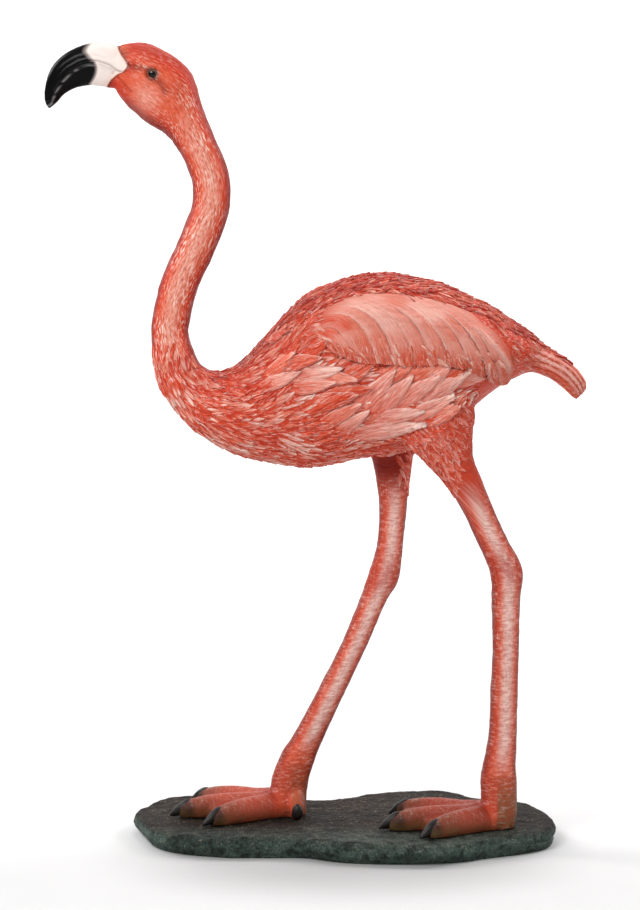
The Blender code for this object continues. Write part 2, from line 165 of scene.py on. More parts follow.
bpy.ops.object.mode_set(mode="OBJECT")
bpy.ops.object.transform_apply(location=True, rotation=False, scale=False)
sweep.data.shade_smooth()
sweep.data.materials.append(paper)

# The room is pale above and grey below, as a studio with a white ceiling.
world = bpy.data.worlds.new("studio")
bpy.context.scene.world = world
world.use_nodes = True
room = world.node_tree
room_side = add_node(room, "ShaderNodeSeparateXYZ", {
    0: add_node(room, "ShaderNodeTexCoord").outputs["Generated"]})
room_height = add_node(room, "ShaderNodeMapRange", {
    "Value": room_side.outputs["Z"], "From Min": -0.2, "From Max": 1.0})
room_tone = add_node(room, "ShaderNodeValToRGB", {"Fac": room_height.outputs[0]})
set_ramp(room_tone, [(0.0, 0.20), (1.0, 0.52)])
room.links.new(room_tone.outputs["Color"], room.nodes["Background"].inputs["Color"])
room.nodes["Background"].inputs["Strength"].default_value = 0.8


def soft_box(name, place, aim, size, power):
    """A square soft light at a place, turned to what it lights."""
    light = bpy.data.lights.new(name, "AREA")
    light.size = size
    light.energy = power
    box = bpy.data.objects.new(name, light)
    bpy.context.scene.collection.objects.link(box)
    box.location = place
    box.rotation_euler = (Vector(aim) - Vector(place)).to_track_quat("-Z", "Y").to_euler()


soft_box("key", (-1.4, -2.5, 2.5), (0, 0, 0.55), 1.3, 78)
soft_box("fill", (2.4, -2.0, 1.3), (0, 0, 0.6), 1.4, 7)
soft_box("top", (0.1, 0.7, 2.7), (0, 0, 0.3), 1.3, 20)
soft_box("paper left", (-2.6, 0.9, 2.6), (0, 3.2, 1.0), 1.6, 92)
soft_box("paper right", (2.6, 0.9, 2.6), (0, 3.2, 1.0), 1.6, 92)

# Casting
# The bird is one hollow casting of filled polyester resin, drawn here from the same
# sections as its solid. The mould's surface carries the carving; paint covers it all.
UNIT = 0.001
FIGURE = Vector((0.0, -0.020, 0.0303))
BODY_HALF_WIDTH = 90
NECK_HALF_THICKNESS = 24.5
HEAD_HALF_WIDTH = 30
BILL_HALF_WIDTH = 18
TAIL_HALF_WIDTH = 25
LEG_HALF_WIDTH = 18.5
HIP_SPREAD = 46
FOOT_SPREAD = 34
RING_SIDES = 64
HEAD_SECTIONS = [
    (-285, 1016, -293, 956, 0.66), (-265, 1018, -281, 939, 0.86), (-247, 1015, -268, 927, 0.96),
    (-229, 1006, -257, 918, 1.00), (-211, 995, -244, 909, 0.99), (-197, 980, -234, 904, 0.95),
    (-189, 962, -227, 898, 0.90), (-183, 938, -221, 891, 0.85)]
NECK_LINE = [(-194, 896), (-187, 883), (-178, 863), (-172, 843), (-171, 821), (-175, 797),
             (-193, 753), (-213, 709), (-224, 665), (-226, 641), (-224, 620)]
BREAST_SECTIONS = [
    (-190, 609, -245, 592, 0.32), (-179, 599, -236, 568, 0.37), (-169, 595, -220, 545, 0.43),
    (-156, 596, -199, 522, 0.52), (-140, 603, -173, 504, 0.62), (-123, 617, -141, 487, 0.72)]
BODY_SECTIONS = [
    (-103, 639, -107, 479, 0.81), (-76, 669, -73, 473, 0.89), (-47, 695, -41, 471, 0.95),
    (-12, 710, -10, 476, 0.99), (23, 720, 24, 483, 1.00), (60, 722, 58, 486, 1.00),
    (92, 716, 87, 494, 0.98), (125, 709, 113, 506, 0.94), (157, 695, 141, 526, 0.85),
    (190, 680, 169, 549, 0.71), (219, 661, 196, 571, 0.55), (242, 645, 219, 585, 0.42)]
TAIL_SECTIONS = [
    (259, 630, 243, 594, 1.05), (281, 616, 266, 587, 0.98), (300, 602, 282, 576, 0.84),
    (313, 586, 295, 565, 0.58), (317, 573, 303, 558, 0.30)]
BILL_SECTIONS = [
    (-280, 1010, -286, 960, 1.00), (-307, 1019, -307, 961, 1.00), (-325, 1018, -325, 963, 0.96),
    (-340, 1014, -341, 961, 0.88), (-356, 1006, -352, 957, 0.80), (-370, 994, -362, 951, 0.68),
    (-379, 980, -369, 943, 0.54), (-384, 963, -376, 937, 0.38), (-386, 948, -381, 934, 0.22)]
LEFT_LEG = [(116, 606, 14), (118, 580, 40), (118, 548, 50), (120, 515, 46), (132, 486, 35),
            (152.5, 457, 25.5), (173, 418, 21), (192, 378, 21), (202, 359, 22), (210, 339, 22),
            (211, 320, 20), (210, 300, 19), (210.5, 241, 17.5), (209, 181, 18), (207.5, 122, 18.5),
            (203.5, 82, 21.5), (202.5, 62, 24), (203.5, 42, 23.5), (204, 18, 23), (202, -8, 20)]
RIGHT_LEG = [(66, 606, 14), (64, 580, 40), (62, 548, 48), (62, 515, 42), (64, 484, 30),
             (65, 450, 22), (66, 410, 18.5), (63, 370, 17.5), (60, 350, 18.5), (56, 330, 20.5),
             (50, 309, 21.5), (39, 286, 18.5), (15, 229, 18), (-14.5, 168, 19), (-45, 107, 21),
             (-56, 87, 23.5), (-64.5, 66, 24.5), (-71, 46, 25), (-74, 18, 25), (-74, -8, 25)]
LEFT_TOES = [(24, 136), (-7, 140), (-33, 107)]
RIGHT_TOES = [(24, 130), (-7, 141), (-33, 114)]
TOE_HALF_WIDTH = 15
TOE_HEIGHT = 30
WEB_THICKNESS = 21
ANKLE_HEIGHT = 26
HIND_TOE_TURN = 95
HIND_TOE_REACH = 34
HIND_TOE_BACK = 10
CLAW_LENGTH = 18
CLAW_HALF_WIDTH = 5


def smooth_run(rows, steps):
    """Rows of numbers along a smooth curve through the given rows."""
    rows = np.array(rows, float)
    padded = np.vstack([rows[:1], rows, rows[-1:]])
    run = []
    for a, b, c, d in zip(padded, padded[1:], padded[2:], padded[3:]):
        for t in np.arange(steps) / steps:
            run.append(0.5 * (2 * b + (c - a) * t + (2 * a - 5 * b + 4 * c - d) * t * t
                              + (3 * b - a - 3 * c + d) * t ** 3))
    run.append(rows[-1])
    return np.array(run)


def to_world(points):
    """From drawing units about the soles to metres in the frame."""
    return np.asarray(points, float) * UNIT + np.array(FIGURE)


def tube(name, rings):
    """A grid primitive rolled round a run of rings, its seam and both ends drawn together."""
    sides = len(rings[0])
    closed = [np.repeat(rings[0].mean(axis=0)[None], sides, axis=0), *rings,
              np.repeat(rings[-1].mean(axis=0)[None], sides, axis=0)]
    bpy.ops.object.select_all(action="DESELECT")
    bpy.ops.mesh.primitive_grid_add(x_subdivisions=sides, y_subdivisions=len(closed) - 1, size=1)
    piece = bpy.context.object
    piece.name = name
    rolled = np.array([np.vstack([ring, ring[:1]]) for ring in closed])
    piece.data.vertices.foreach_set("co", to_world(rolled.reshape(-1, 3)).astype(np.float32).ravel())
    piece.data.update()
    bpy.ops.object.mode_set(mode="EDIT")
    bpy.ops.mesh.select_all(action="SELECT")
    bpy.ops.mesh.remove_doubles(threshold=1e-6)
    bpy.ops.mesh.normals_make_consistent(inside=False)
    bpy.ops.object.mode_set(mode="OBJECT")
    return piece


def trunk_ring(row, sides):
    """One section of the trunk, fuller above than below where fullness is over 0."""
    back_x, back_z, front_x, front_z, half_width, fullness = row
    turn = np.linspace(0, 2 * np.pi, sides, endpoint=False)
    up = np.cos(turn)
    side = np.sin(turn) * (1 + fullness * up)
    return np.stack([(back_x + front_x) / 2 + (back_x - front_x) / 2 * up, half_width * side,
                     (back_z + front_z) / 2 + (back_z - front_z) / 2 * up], axis=1)


def neck_sections():
    """The neck's sections, square to its middle line."""
    line = np.array(NECK_LINE, float)
    along = line[2:] - line[:-2]
    along /= np.linalg.norm(along, axis=1)[:, None]
    across = np.stack([-along[:, 1], along[:, 0]], axis=1) * NECK_HALF_THICKNESS
    half = np.full((len(across), 1), NECK_HALF_THICKNESS)
    return np.hstack([line[1:-1] + across, line[1:-1] - across, half, 0 * half])


def widened(sections, half_width, fullness):
    """Sections with their half width and fullness."""
    return np.array([(a, b, c, d, share * half_width, fullness) for a, b, c, d, share in sections])


trunk_rows = np.vstack([widened(HEAD_SECTIONS, HEAD_HALF_WIDTH, 0), neck_sections(),
                        widened(BREAST_SECTIONS, BODY_HALF_WIDTH, 0.04),
                        widened(BODY_SECTIONS, BODY_HALF_WIDTH, 0.10),
                        widened(TAIL_SECTIONS, TAIL_HALF_WIDTH, 0)])
RUN_STEPS = 8
trunk_run = smooth_run(trunk_rows, RUN_STEPS)


def leg_rings(rows, side):
    """Level sections down a leg, and the middle line that they follow."""
    rings = []
    middles = []
    turn = np.linspace(0, 2 * np.pi, 40, endpoint=False)
    for x, z, half_x in smooth_run(rows, 5):
        share = min(max(z / rows[0][1], 0), 1)
        y = side * (FOOT_SPREAD + (HIP_SPREAD - FOOT_SPREAD) * share)
        half_y = min(half_x, 0.2 * half_x + 0.8 * LEG_HALF_WIDTH)
        rings.append(np.stack([x + half_x * np.cos(turn), y + half_y * np.sin(turn), 0 * turn + z], axis=1))
        middles.append((x, y, z))
    return rings, np.array(middles)


def toe_rings(ankle, turn, stations, sides=24):
    """Upright sections across a toe: reach, half width, underside and top of each."""
    ahead = np.array((-math.cos(turn), math.sin(turn), 0))
    across = np.array((ahead[1], -ahead[0], 0))
    round_turn = np.linspace(0, 2 * np.pi, sides, endpoint=False)
    rings = []
    for reach, half_width, low, high in smooth_run(stations, 4):
        middle = ankle + ahead * reach + np.array((0, 0, (low + high) / 2))
        rings.append(middle + np.outer(half_width * np.cos(round_turn), across)
                     + np.outer((high - low) / 2 * np.sin(round_turn), (0, 0, 1)))
    return rings


def foot_tubes(leg, toes, side):
    """Toes, webs and the hind toe of one foot, each a run of rings."""
    ankle = np.array((leg[-1][0], side * FOOT_SPREAD, 0), float)
    half = TOE_HALF_WIDTH
    runs = []
    for degrees, reach in toes:
        toe = [(-6, half + 5, -8, ANKLE_HEIGHT + 14), (14, half + 4, -8, ANKLE_HEIGHT + 9),
               (0.35 * reach, half + 1, -7, TOE_HEIGHT), (0.55 * reach, half + 1, -7, TOE_HEIGHT),
               (0.75 * reach, half, -6, TOE_HEIGHT - 2), (0.9 * reach, half - 2, -6, TOE_HEIGHT - 6),
               (reach, half - 5, -4, TOE_HEIGHT - 11), (reach + 5, half - 9, 0, TOE_HEIGHT - 15)]
        runs.append(toe_rings(ankle, math.radians(degrees), toe))
    for (first, first_reach), (second, second_reach) in zip(toes, toes[1:]):
        flare = math.tan(math.radians(abs(first - second)) / 2)
        reach = 0.88 * min(first_reach, second_reach)
        web = [(10, 10, -6, WEB_THICKNESS + 14), (0.5 * reach, 0.5 * reach * flare, -6, WEB_THICKNESS + 4),
               (reach, reach * flare, -6, WEB_THICKNESS - 4),
               (reach + 6, 0.8 * reach * flare, -4, WEB_THICKNESS - 10)]
        runs.append(toe_rings(ankle, math.radians((first + second) / 2), web))
    hind = [(0, 12, 0, 46), (0.5 * HIND_TOE_REACH, 11, -4, 38), (0.85 * HIND_TOE_REACH, 9, -4, 28),
            (HIND_TOE_REACH, 7, 0, 20)]
    runs.append(toe_rings(ankle + np.array((HIND_TOE_BACK, 0, 0)), math.radians(-side * HIND_TOE_TURN), hind))
    return runs


def pick(piece):
    """Selects one piece alone and makes it the active one."""
    bpy.ops.object.select_all(action="DESELECT")
    piece.select_set(True)
    bpy.context.view_layer.objects.active = piece


def apply_modifiers(piece):
    """Applies every modifier of a piece in turn."""
    pick(piece)
    for modifier in list(piece.modifiers):
        bpy.ops.object.modifier_apply(modifier=modifier.name)


def join(pieces, name):
    """Joins pieces into the first one."""
    bpy.ops.object.select_all(action="DESELECT")
    for piece in pieces:
        piece.select_set(True)
    bpy.context.view_layer.objects.active = pieces[0]
    bpy.ops.object.join()
    pieces[0].name = name
    return pieces[0]


def places(piece):
    """A piece's vertex places in metres."""
    co = np.empty(len(piece.data.vertices) * 3, np.float32)
    piece.data.vertices.foreach_get("co", co)
    return co.reshape(-1, 3).astype(float)


def drawn_places(piece):
    """A piece's vertex places in drawing units about the soles."""
    return (places(piece) - np.array(FIGURE)) / UNIT


def ramp(values, low, high):
    """Smooth step from 0 at low to 1 at high."""
    t = np.clip((values - low) / (high - low), 0, 1)
    return t * t * (3 - 2 * t)


left_rings, left_line = leg_rings(LEFT_LEG, -1)
right_rings, right_line = leg_rings(RIGHT_LEG, 1)
raw_parts = [tube("trunk", [trunk_ring(row, RING_SIDES) for row in trunk_run]),
             tube("bill_form", [trunk_ring(row, RING_SIDES)
                                for row in smooth_run(widened(BILL_SECTIONS, BILL_HALF_WIDTH, 0.05), 6)]),
             tube("left_leg", left_rings), tube("right_leg", right_rings)]
FEET = ((LEFT_LEG, LEFT_TOES, -1), (RIGHT_LEG, RIGHT_TOES, 1))
for leg, toes, side in FEET:
    raw_parts += [tube("toe", rings) for rings in foot_tubes(leg, toes, side)]
casting = join(raw_parts, "casting")
VOXEL = 0.0022
fuse = casting.modifiers.new("fuse", "REMESH")
fuse.mode = "VOXEL"
fuse.voxel_size = VOXEL
apply_modifiers(casting)

hips = casting.vertex_groups.new(name="hips")
HIP_PLACES = [(105, -55, 505), (60, 55, 500)]
HIP_REACH = (75, 45, 60)
for hip in HIP_PLACES:
    off_x, off_y, off_z = ((drawn_places(casting) - hip) / HIP_REACH).T
    reach = np.sqrt(off_x ** 2 + off_y ** 2 + off_z ** 2)
    weight = 1 - ramp(reach, 0.5, 1.0)
    for i in np.nonzero(weight > 0.02)[0]:
        hips.add([int(i)], float(weight[i]), "REPLACE")
soften = casting.modifiers.new("all over", "SMOOTH")
soften.factor = 0.5
soften.iterations = 5
blend = casting.modifiers.new("hips", "SMOOTH")
blend.factor = 0.7
blend.iterations = 60
blend.vertex_group = "hips"
apply_modifiers(casting)
casting.vertex_groups.clear()

# The soles are cut off level where they stand on the slab.
bpy.ops.object.mode_set(mode="EDIT")
bpy.ops.mesh.select_all(action="SELECT")
bpy.ops.mesh.bisect(plane_co=(0, 0, FIGURE.z), plane_no=(0, 0, -1), clear_outer=True, use_fill=True)
bpy.ops.object.mode_set(mode="OBJECT")

# Straightened places
# Paint strokes and carved grain run along the neck and down the legs, so every place on
# the casting also gets its place as if the bird were pulled straight, in millimetres.
run_middle = (trunk_run[:, 0:2] + trunk_run[:, 2:4]) / 2
run_rise = (trunk_run[:, 0:2] - trunk_run[:, 2:4]) / 2
run_half = np.linalg.norm(run_rise, axis=1)
run_up = run_rise / run_half[:, None]
run_ahead = np.stack([run_up[:, 1], -run_up[:, 0]], axis=1)
run_length = np.concatenate([[0], np.cumsum(np.linalg.norm(np.diff(run_middle, axis=0), axis=1))])


def along_trunk(points):
    """Section number, turn from the back in degrees, and straightened place of points."""
    flat = points[:, [0, 2]]
    number = np.zeros(len(points))
    best = np.full(len(points), 1e9)
    before = None
    for i in range(len(trunk_run)):
        ahead = (flat - run_middle[i]) @ run_ahead[i]
        above = np.abs((flat - run_middle[i]) @ run_up[i])
        if before is not None:
            off = np.maximum(above - 1.4 * run_half[i], 0)
            crossed = (before >= 0) & (ahead < 0) & (off < best)
            number = np.where(crossed, i - 1 + before / np.where(crossed, before - ahead, 1), number)
            best = np.where(crossed, off, best)
        before = ahead
    past_end = (best > 1e8) & (points[:, 0] > 200)
    number = np.where(past_end, len(trunk_run) - 1, number)
    steps = np.arange(len(trunk_run))
    middle = np.stack([np.interp(number, steps, run_middle[:, c]) for c in (0, 1)], axis=1)
    up = np.stack([np.interp(number, steps, run_up[:, c]) for c in (0, 1)], axis=1)
    height = np.sum((flat - middle) * up, axis=1)
    half = np.interp(number, steps, run_half)
    width = np.interp(number, steps, trunk_run[:, 4])
    turn = np.degrees(np.arctan2(np.abs(points[:, 1]) / width, height / half))
    length = np.interp(number, steps, run_length)
    front = (best > 1e8) & ~past_end
    length = np.where(front, (flat - run_middle[0]) @ run_ahead[0], length)
    return number / RUN_STEPS, turn, np.stack([length, height, points[:, 1]], axis=1)


def leg_places(points):
    """Height, place across in half widths, and straightened place of points on a leg or foot."""
    straight = np.zeros((len(points), 3))
    across = np.zeros(len(points))
    for rows, line, near in ((LEFT_LEG, left_line, True), (RIGHT_LEG, right_line, False)):
        mine = (points[:, 1] < 0) == near
        falling = np.array(rows, float)[::-1]
        middle_x = np.interp(points[mine, 2], falling[:, 1], falling[:, 0])
        half_x = np.interp(points[mine, 2], falling[:, 1], falling[:, 2])
        offset = points[mine, 0] - middle_x
        forward = np.maximum(rows[-1][0] - points[mine, 0] - 22, 0)
        straight[mine] = np.stack([
            np.minimum(points[mine, 2], 40) + np.maximum(points[mine, 2] - 40, 0) - forward,
            np.where(forward > 0, 0, offset),
            points[mine, 1] - np.interp(points[mine, 2], line[::-1, 2], line[::-1, 1])], axis=1)
        across[mine] = offset / half_x
    return across, straight


def line_distance(x, z, line):
    """Distance in the side view from points to a bent line."""
    nearest = np.full(len(x), 1e9)
    for (ax, az), (bx, bz) in zip(line, line[1:]):
        run = np.array((bx - ax, bz - az))
        share = np.clip(((x - ax) * run[0] + (z - az) * run[1]) / (run @ run), 0, 1)
        nearest = np.minimum(nearest, np.hypot(x - ax - share * run[0], z - az - share * run[1]))
    return nearest


def normals(piece):
    """A piece's vertex normals."""
    values = np.empty(len(piece.data.vertices) * 3, np.float32)
    piece.data.vertices.foreach_get("normal", values)
    return values.reshape(-1, 3).astype(float)


def set_places(piece, points):
    """Moves a piece's vertices to places in metres."""
    piece.data.vertices.foreach_set("co", points.astype(np.float32).ravel())
    piece.data.update()


LATTICE = 32


def smooth_noise(points, seed, scale):
    """Smooth noise between about -1 and 1 at straightened places; scale is mm along each axis."""
    lattice = np.random.default_rng(seed).uniform(-1, 1, (LATTICE, LATTICE, LATTICE))
    p = points / np.array(scale)
    cell = np.floor(p).astype(int)
    part = p - cell
    part = part * part * (3 - 2 * part)
    total = np.zeros(len(points))
    for i in (0, 1):
        for j in (0, 1):
            for k in (0, 1):
                near_x, near_y, near_z = np.abs(1 - np.array((i, j, k)) - part).T
                corner = tuple(((cell + (i, j, k)) % LATTICE).T)
                total += near_x * near_y * near_z * lattice[corner]
    return total


# Head carving
# The mouth is a groove cut along the bill, the plumage ends in a raised edge round its
# root, and a furrow runs from the lores under the eye; all were cut in the master.
BILL_ROOT = [(-305.6, 960.9), (-299.0, 969.5), (-291.1, 976.0), (-282.5, 979.9), (-277.9, 988.4),
             (-287.1, 1002.9), (-291.1, 1014.0), (-290, 1024)]
BLACK_EDGE = [(-334.0, 955.0), (-328.5, 962.0), (-320.5, 972.5), (-317.2, 983.0), (-319.5, 992.5),
              (-326.5, 1000.5), (-330.0, 1007.0), (-326.0, 1015.0), (-322.0, 1024.0)]
MOUTH = [(-282.5, 978.0), (-291.1, 981.5), (-300.3, 988.4), (-314.8, 993.7), (-326.7, 994.0),
         (-339.8, 990.5), (-353.0, 983.0), (-365.5, 971.0), (-375.4, 957.0), (-381.5, 944.0)]
MOUTH_SECOND = [(-289.0, 979.0), (-302.0, 984.5), (-314.0, 989.5)]
EYE_FURROW = [(-279, 989), (-270.0, 985.2), (-256.9, 983.5), (-249, 981)]
EYE_TAIL = [(-242, 971), (-234.5, 964.2), (-227.9, 953.7)]
CHEEK_LINE = [(-291.1, 973.4), (-281.9, 964.2), (-272.0, 953.7)]
HEAD_END = 7.4
HEAD_LOW = 820
LEG_HIGH = 468
TOE_START = 30
EYE_PLACE = (-245, 976)
TAIL_GROOVES = (38, 66, 94, 122, 150)

section, turn, straight = along_trunk(drawn_places(casting))
head_vertices = (section < HEAD_END) & (places(casting)[:, 2] > 0.85)
bpy.ops.object.mode_set(mode="EDIT")
bpy.ops.mesh.select_all(action="DESELECT")
bpy.ops.object.mode_set(mode="OBJECT")
casting.data.vertices.foreach_set("select", head_vertices)
bpy.ops.object.mode_set(mode="EDIT")
bpy.ops.mesh.select_mode(type="VERT")
bpy.ops.mesh.subdivide(number_cuts=1)
bpy.ops.object.mode_set(mode="OBJECT")
drawn = drawn_places(casting)
section, turn, straight = along_trunk(drawn)
x, y, z = drawn.T
head = (section < HEAD_END) & (z > HEAD_LOW)
head_group = casting.vertex_groups.new(name="head")
head_group.add([int(i) for i in np.nonzero(head & (section < HEAD_END - 0.5))[0]], 1.0, "REPLACE")
even = casting.modifiers.new("even out", "SMOOTH")
even.factor = 0.5
even.iterations = 6
even.vertex_group = "head"
apply_modifiers(casting)
casting.vertex_groups.clear()

drawn = drawn_places(casting)
x, y, z = drawn.T
out = normals(casting)
sideways = ramp(np.abs(out[:, 1]), 0.15, 0.6)
root_curve = smooth_run(BILL_ROOT, 6)
black_curve = smooth_run(BLACK_EDGE, 6)
root_x = np.interp(z, root_curve[:, 1], root_curve[:, 0])
black_x = np.interp(z, black_curve[:, 1], black_curve[:, 0])
on_head = (section < HEAD_END) & (z > HEAD_LOW)
bill_side = np.where(on_head, root_x - x, -99)
mouth = line_distance(x, z, MOUTH)
mouth_second = line_distance(x, z, MOUTH_SECOND)
mouth_x, mouth_z = np.array(MOUTH).T
below_mouth = on_head & (x < -283) & (z < np.interp(x, mouth_x[::-1], mouth_z[::-1]))
furrow = np.minimum(line_distance(x, z, EYE_FURROW), line_distance(x, z, EYE_TAIL))
cheek_line = line_distance(x, z, CHEEK_LINE)
carve = np.zeros(len(x))
carve -= 1.9 * np.exp(-(mouth / 1.5) ** 2) * sideways * (bill_side > -6)
carve -= 0.7 * np.exp(-(mouth_second / 1.0) ** 2) * sideways * (bill_side > -3)
carve -= 0.6 * sideways * below_mouth
carve += 1.7 * np.exp(-((mouth - 4.5) / 2.6) ** 2) * sideways * below_mouth * (bill_side > 12)
carve -= 1.1 * np.exp(-((mouth - 5) / 3.6) ** 2) * sideways * on_head * ~below_mouth * ramp(bill_side, 16, 30)
carve -= 1.0 * ramp(bill_side, -1.2, 1.2) * on_head
carve -= 1.3 * np.exp(-(furrow / 3.0) ** 2) * sideways * on_head
carve -= 0.5 * np.exp(-(cheek_line / 1.6) ** 2) * sideways * on_head
eye_distance = np.hypot(x - EYE_PLACE[0], z - EYE_PLACE[1])
carve -= 2.2 * np.exp(-(eye_distance / 7.5) ** 2) * sideways * on_head
carve += 1.2 * np.exp(-((eye_distance - 10.5) / 2.4) ** 2) * sideways * on_head
across, leg_straight = leg_places(drawn)
on_leg = z < LEG_HIGH
straight = np.where(on_leg[:, None], leg_straight, straight)
near_leg = np.where(z < 110, x > 20, y < 0)
ankle_x = np.where(near_leg, LEFT_LEG[-1][0], RIGHT_LEG[-1][0])
ankle_y = np.where(near_leg, -FOOT_SPREAD, FOOT_SPREAD)
from_ankle = np.hypot(x - ankle_x, y - ankle_y)
on_toes = on_leg & (z < 48) & (from_ankle > TOE_START)
toe_straight = np.stack([from_ankle, np.arctan2(y - ankle_y, ankle_x - x) * from_ankle, z], axis=1)
straight = np.where(on_toes[:, None], toe_straight, straight)
plumage = (~on_leg) & (bill_side < 0)
fleck = smooth_noise(straight, 3, (9, 2.6, 2.6))
lumps = smooth_noise(straight, 4, (26, 13, 13))
carve += np.where(on_head & (bill_side > 0), 0.7 + 1.3 * ramp(-x, 340, 385), 0)
tail_part = ramp(section, 34.0, 35.5) * ~on_leg
groove = sum(np.exp(-((turn - angle + 3 * np.sin(straight[:, 0] / 14)) / 5.0) ** 2) for angle in TAIL_GROOVES)
carve -= 1.5 * groove * tail_part
carve += np.where(plumage, 0.60 * fleck + 0.35 * lumps, 0)
carve += np.where(on_leg & (z > 3), 0.35 * lumps + 0.3 * smooth_noise(straight, 5, (7, 16, 16)), 0)
carve *= np.where(z < 3, 0, 1)
moved = drawn + out * carve[:, None]
moved[:, 2] = np.where(drawn[:, 2] < 0.2, drawn[:, 2], np.maximum(moved[:, 2], 0.3))
carved = to_world(moved)
carved[:, 0] = np.clip(carved[:, 0], cad_box[0][0], cad_box[1][0])
set_places(casting, carved)

# Airbrushed paint
# Coral over the whole bird, paler along the sides of the neck and legs, deep red over the
# back, at the knees and on the toes; the bill is ivory at its root and black at its end.
# Part of it is painted light: the pale middles of the neck and legs are partly painted
# highlight, and the darker neck and leg edges, belly underside and far leg top are painted shade.
CORAL = "#DA5B3C"
RED = "#C42F15"
DEEP = "#9A2010"
PALE = "#E9A491"
LEG_HIGHLIGHT = "#F4D2C8"
LEG_TOP = "#BE3D26"
CREAM = "#F8E9DF"
BROWN = "#5C2518"
OLIVE = "#6A5433"
BLACK = "#0E0D0E"
IVORY = "#EDDFD8"


def tint(colour, code, amount):
    """Moves colours towards a hex colour by an amount per point."""
    return colour + (linear(code) - colour) * np.clip(amount, 0, 1)[:, None]


def spot(centre, reach):
    """A soft round patch in the side view."""
    return np.exp(-((x - centre[0]) ** 2 + (z - centre[1]) ** 2) / reach ** 2)


facing = np.abs(np.cos(np.radians(turn)))
wash = np.tile(linear(CORAL), (len(x), 1))
neck = (section < 18) & ~on_leg
# Painted light on the neck: the middle of each side is paler, partly the statue's airbrushing and partly a
# painted highlight; towards the front and back it turns red and then dark red, a painted shade at the edges.
for code, amount in (
        (PALE, neck * 0.65 * ramp(-facing, -0.7, -0.05) * ramp(section, 5, 9)),
        (RED, neck * 0.9 * ramp(facing, 0.45, 0.85)),
        ("#7C180D", neck * 0.85 * ramp(facing, 0.68, 0.96)),
        (RED, neck * 0.5 * ramp(-turn, -80, -30) * ramp(-section, -8.5, -6)),
        ("#AA301C", 0.5 * ramp(z + 0.3 * (x - EYE_PLACE[0]), 984, 1008) * neck * on_head),
        ("#AA301C", 0.4 * spot((-212, 958), 14) * neck),
        (PALE, 0.6 * spot((-253, 946), 17) * neck),
        (RED, 0.9 * spot((-273, 985), 10) * neck),
        ("#C83418", 0.95 * spot((-292, 955), 15) * neck),
        ("#D87D5D", 0.5 * spot((-284, 1008), 8) * neck)):
    wash = tint(wash, code, amount)
body = (section >= 17) & ~on_leg
thigh_part = body & (z < 545) & (x > 20)
for code, amount in (
        (RED, body * 0.75 * ramp(section, 17, 19)),
        (DEEP, body * 0.8 * ramp(-turn, -45, -25)),
        # Painted shade: the underside of the belly is darker red.
        (DEEP, body * 0.5 * ramp(turn, 150, 172) * ramp(section, 26, 30)),
        (CORAL, body * 0.75 * ramp(section, 34, 36)),
        (CREAM, 0.45 * tail_part * ramp(-groove, -0.25, 0.0) * ramp(-np.abs(turn - 80), -50, -10)),
        ("#8C2A1A", 0.7 * tail_part * groove),
        (LEG_TOP, thigh_part * ramp(-z, -530, -480)),
        ("#7A2316", 0.62 * np.exp(-(furrow / 4.2) ** 2) * sideways * neck),
        ("#8C2A1A", 0.6 * spot((-281, 1002), 7) * neck),
        ("#7A2316", 0.5 * spot((-283, 984), 5) * neck),
        (BROWN, 0.7 * np.exp(-((bill_side + 1.8) / 2.4) ** 2) * on_head),
        (DEEP, 0.6 * np.exp(-(cheek_line / 1.4) ** 2) * sideways * neck),
        ("#5C1E14", 0.75 * np.exp(-((eye_distance - 6.5) / 2.6) ** 2) * sideways * neck)):
    wash = tint(wash, code, amount)

# Painted light on the legs: a pale painted highlight runs down the middle, and red and then dark red painted
# shade runs towards both edges.
leg_edge_shade = 0.95 * ramp(-across, 0.25, 0.95) + 0.7 * ramp(across, 0.5, 1.0)
for code, amount in (
        (LEG_HIGHLIGHT, on_leg * 0.85 * ramp(z, np.where(near_leg, 60, 80), 120)
         * ramp(-np.abs(across - 0.1), -0.68, -0.03)),
        ("#B4321D", on_leg * leg_edge_shade),
        ("#701D12", 0.85 * on_leg * ramp(np.abs(across), 0.62, 0.97))):
    wash = tint(wash, code, amount)
knee_z = np.where(y < 0, 345, 322)
for code, amount in (
        ("#B5341F", on_leg * 0.6 * np.exp(-((z - knee_z) / 22) ** 2)),
        (LEG_TOP, on_leg * ramp(z, 405, 462)),
        # Painted shade: the far leg's top, under the belly, is darker.
        ("#84241A", 0.85 * (y > 0) * ramp(z, 430, 466) * ramp(-z, -500, -480) * (x > 0))):
    wash = tint(wash, code, amount)
on_foot = on_leg & (z < 70)
foot_red = ramp(-z, -62, -30) * (0.55 + 0.4 * near_leg)
for code, amount in (
        ("#C53416", on_foot * foot_red * ramp(out[:, 2], -0.2, 0.7) * ramp(z, 34, 52)),
        ("#AC3F29", on_foot * 0.5),
        ("#A44632", 0.9 * on_toes * ramp(from_ankle, 30, 46)),
        ("#8E2414", on_toes * 0.85 * ramp(-z, -25, -19) * ramp(out[:, 2], 0.5, 0.9))):
    wash = tint(wash, code, amount)
toe_angle = np.degrees(np.arctan2(y - ankle_y, ankle_x - x))
toe_end = np.where(near_leg, *(np.interp(toe_angle, *np.array(sorted(toes)).T)
                               for toes in (LEFT_TOES, RIGHT_TOES)))
for code, amount in (
        ("#7E3220", on_toes * 0.55 * near_leg),
        ("#5A3620", on_toes * 0.65 * ramp(from_ankle - toe_end, -50, -12)),
        ("#21130E", on_toes * 0.85 * ramp(from_ankle - toe_end, -13, -3))):
    wash = tint(wash, code, amount)
sole_wash = np.where(near_leg, 0.7, 0.5) * (0.6 + 0.4 * smooth_noise(straight, 23, (12, 12, 9)))
wash = tint(wash, OLIVE, on_foot * sole_wash * ramp(-z, -20, -6) * ramp(-out[:, 2], -0.7, 0.1))
heel = on_leg & (x > np.where(near_leg, 200, -68))
wash = tint(wash, OLIVE, heel * 0.75 * ramp(-z, -85, -30) * np.where(near_leg, 1, 0.5))

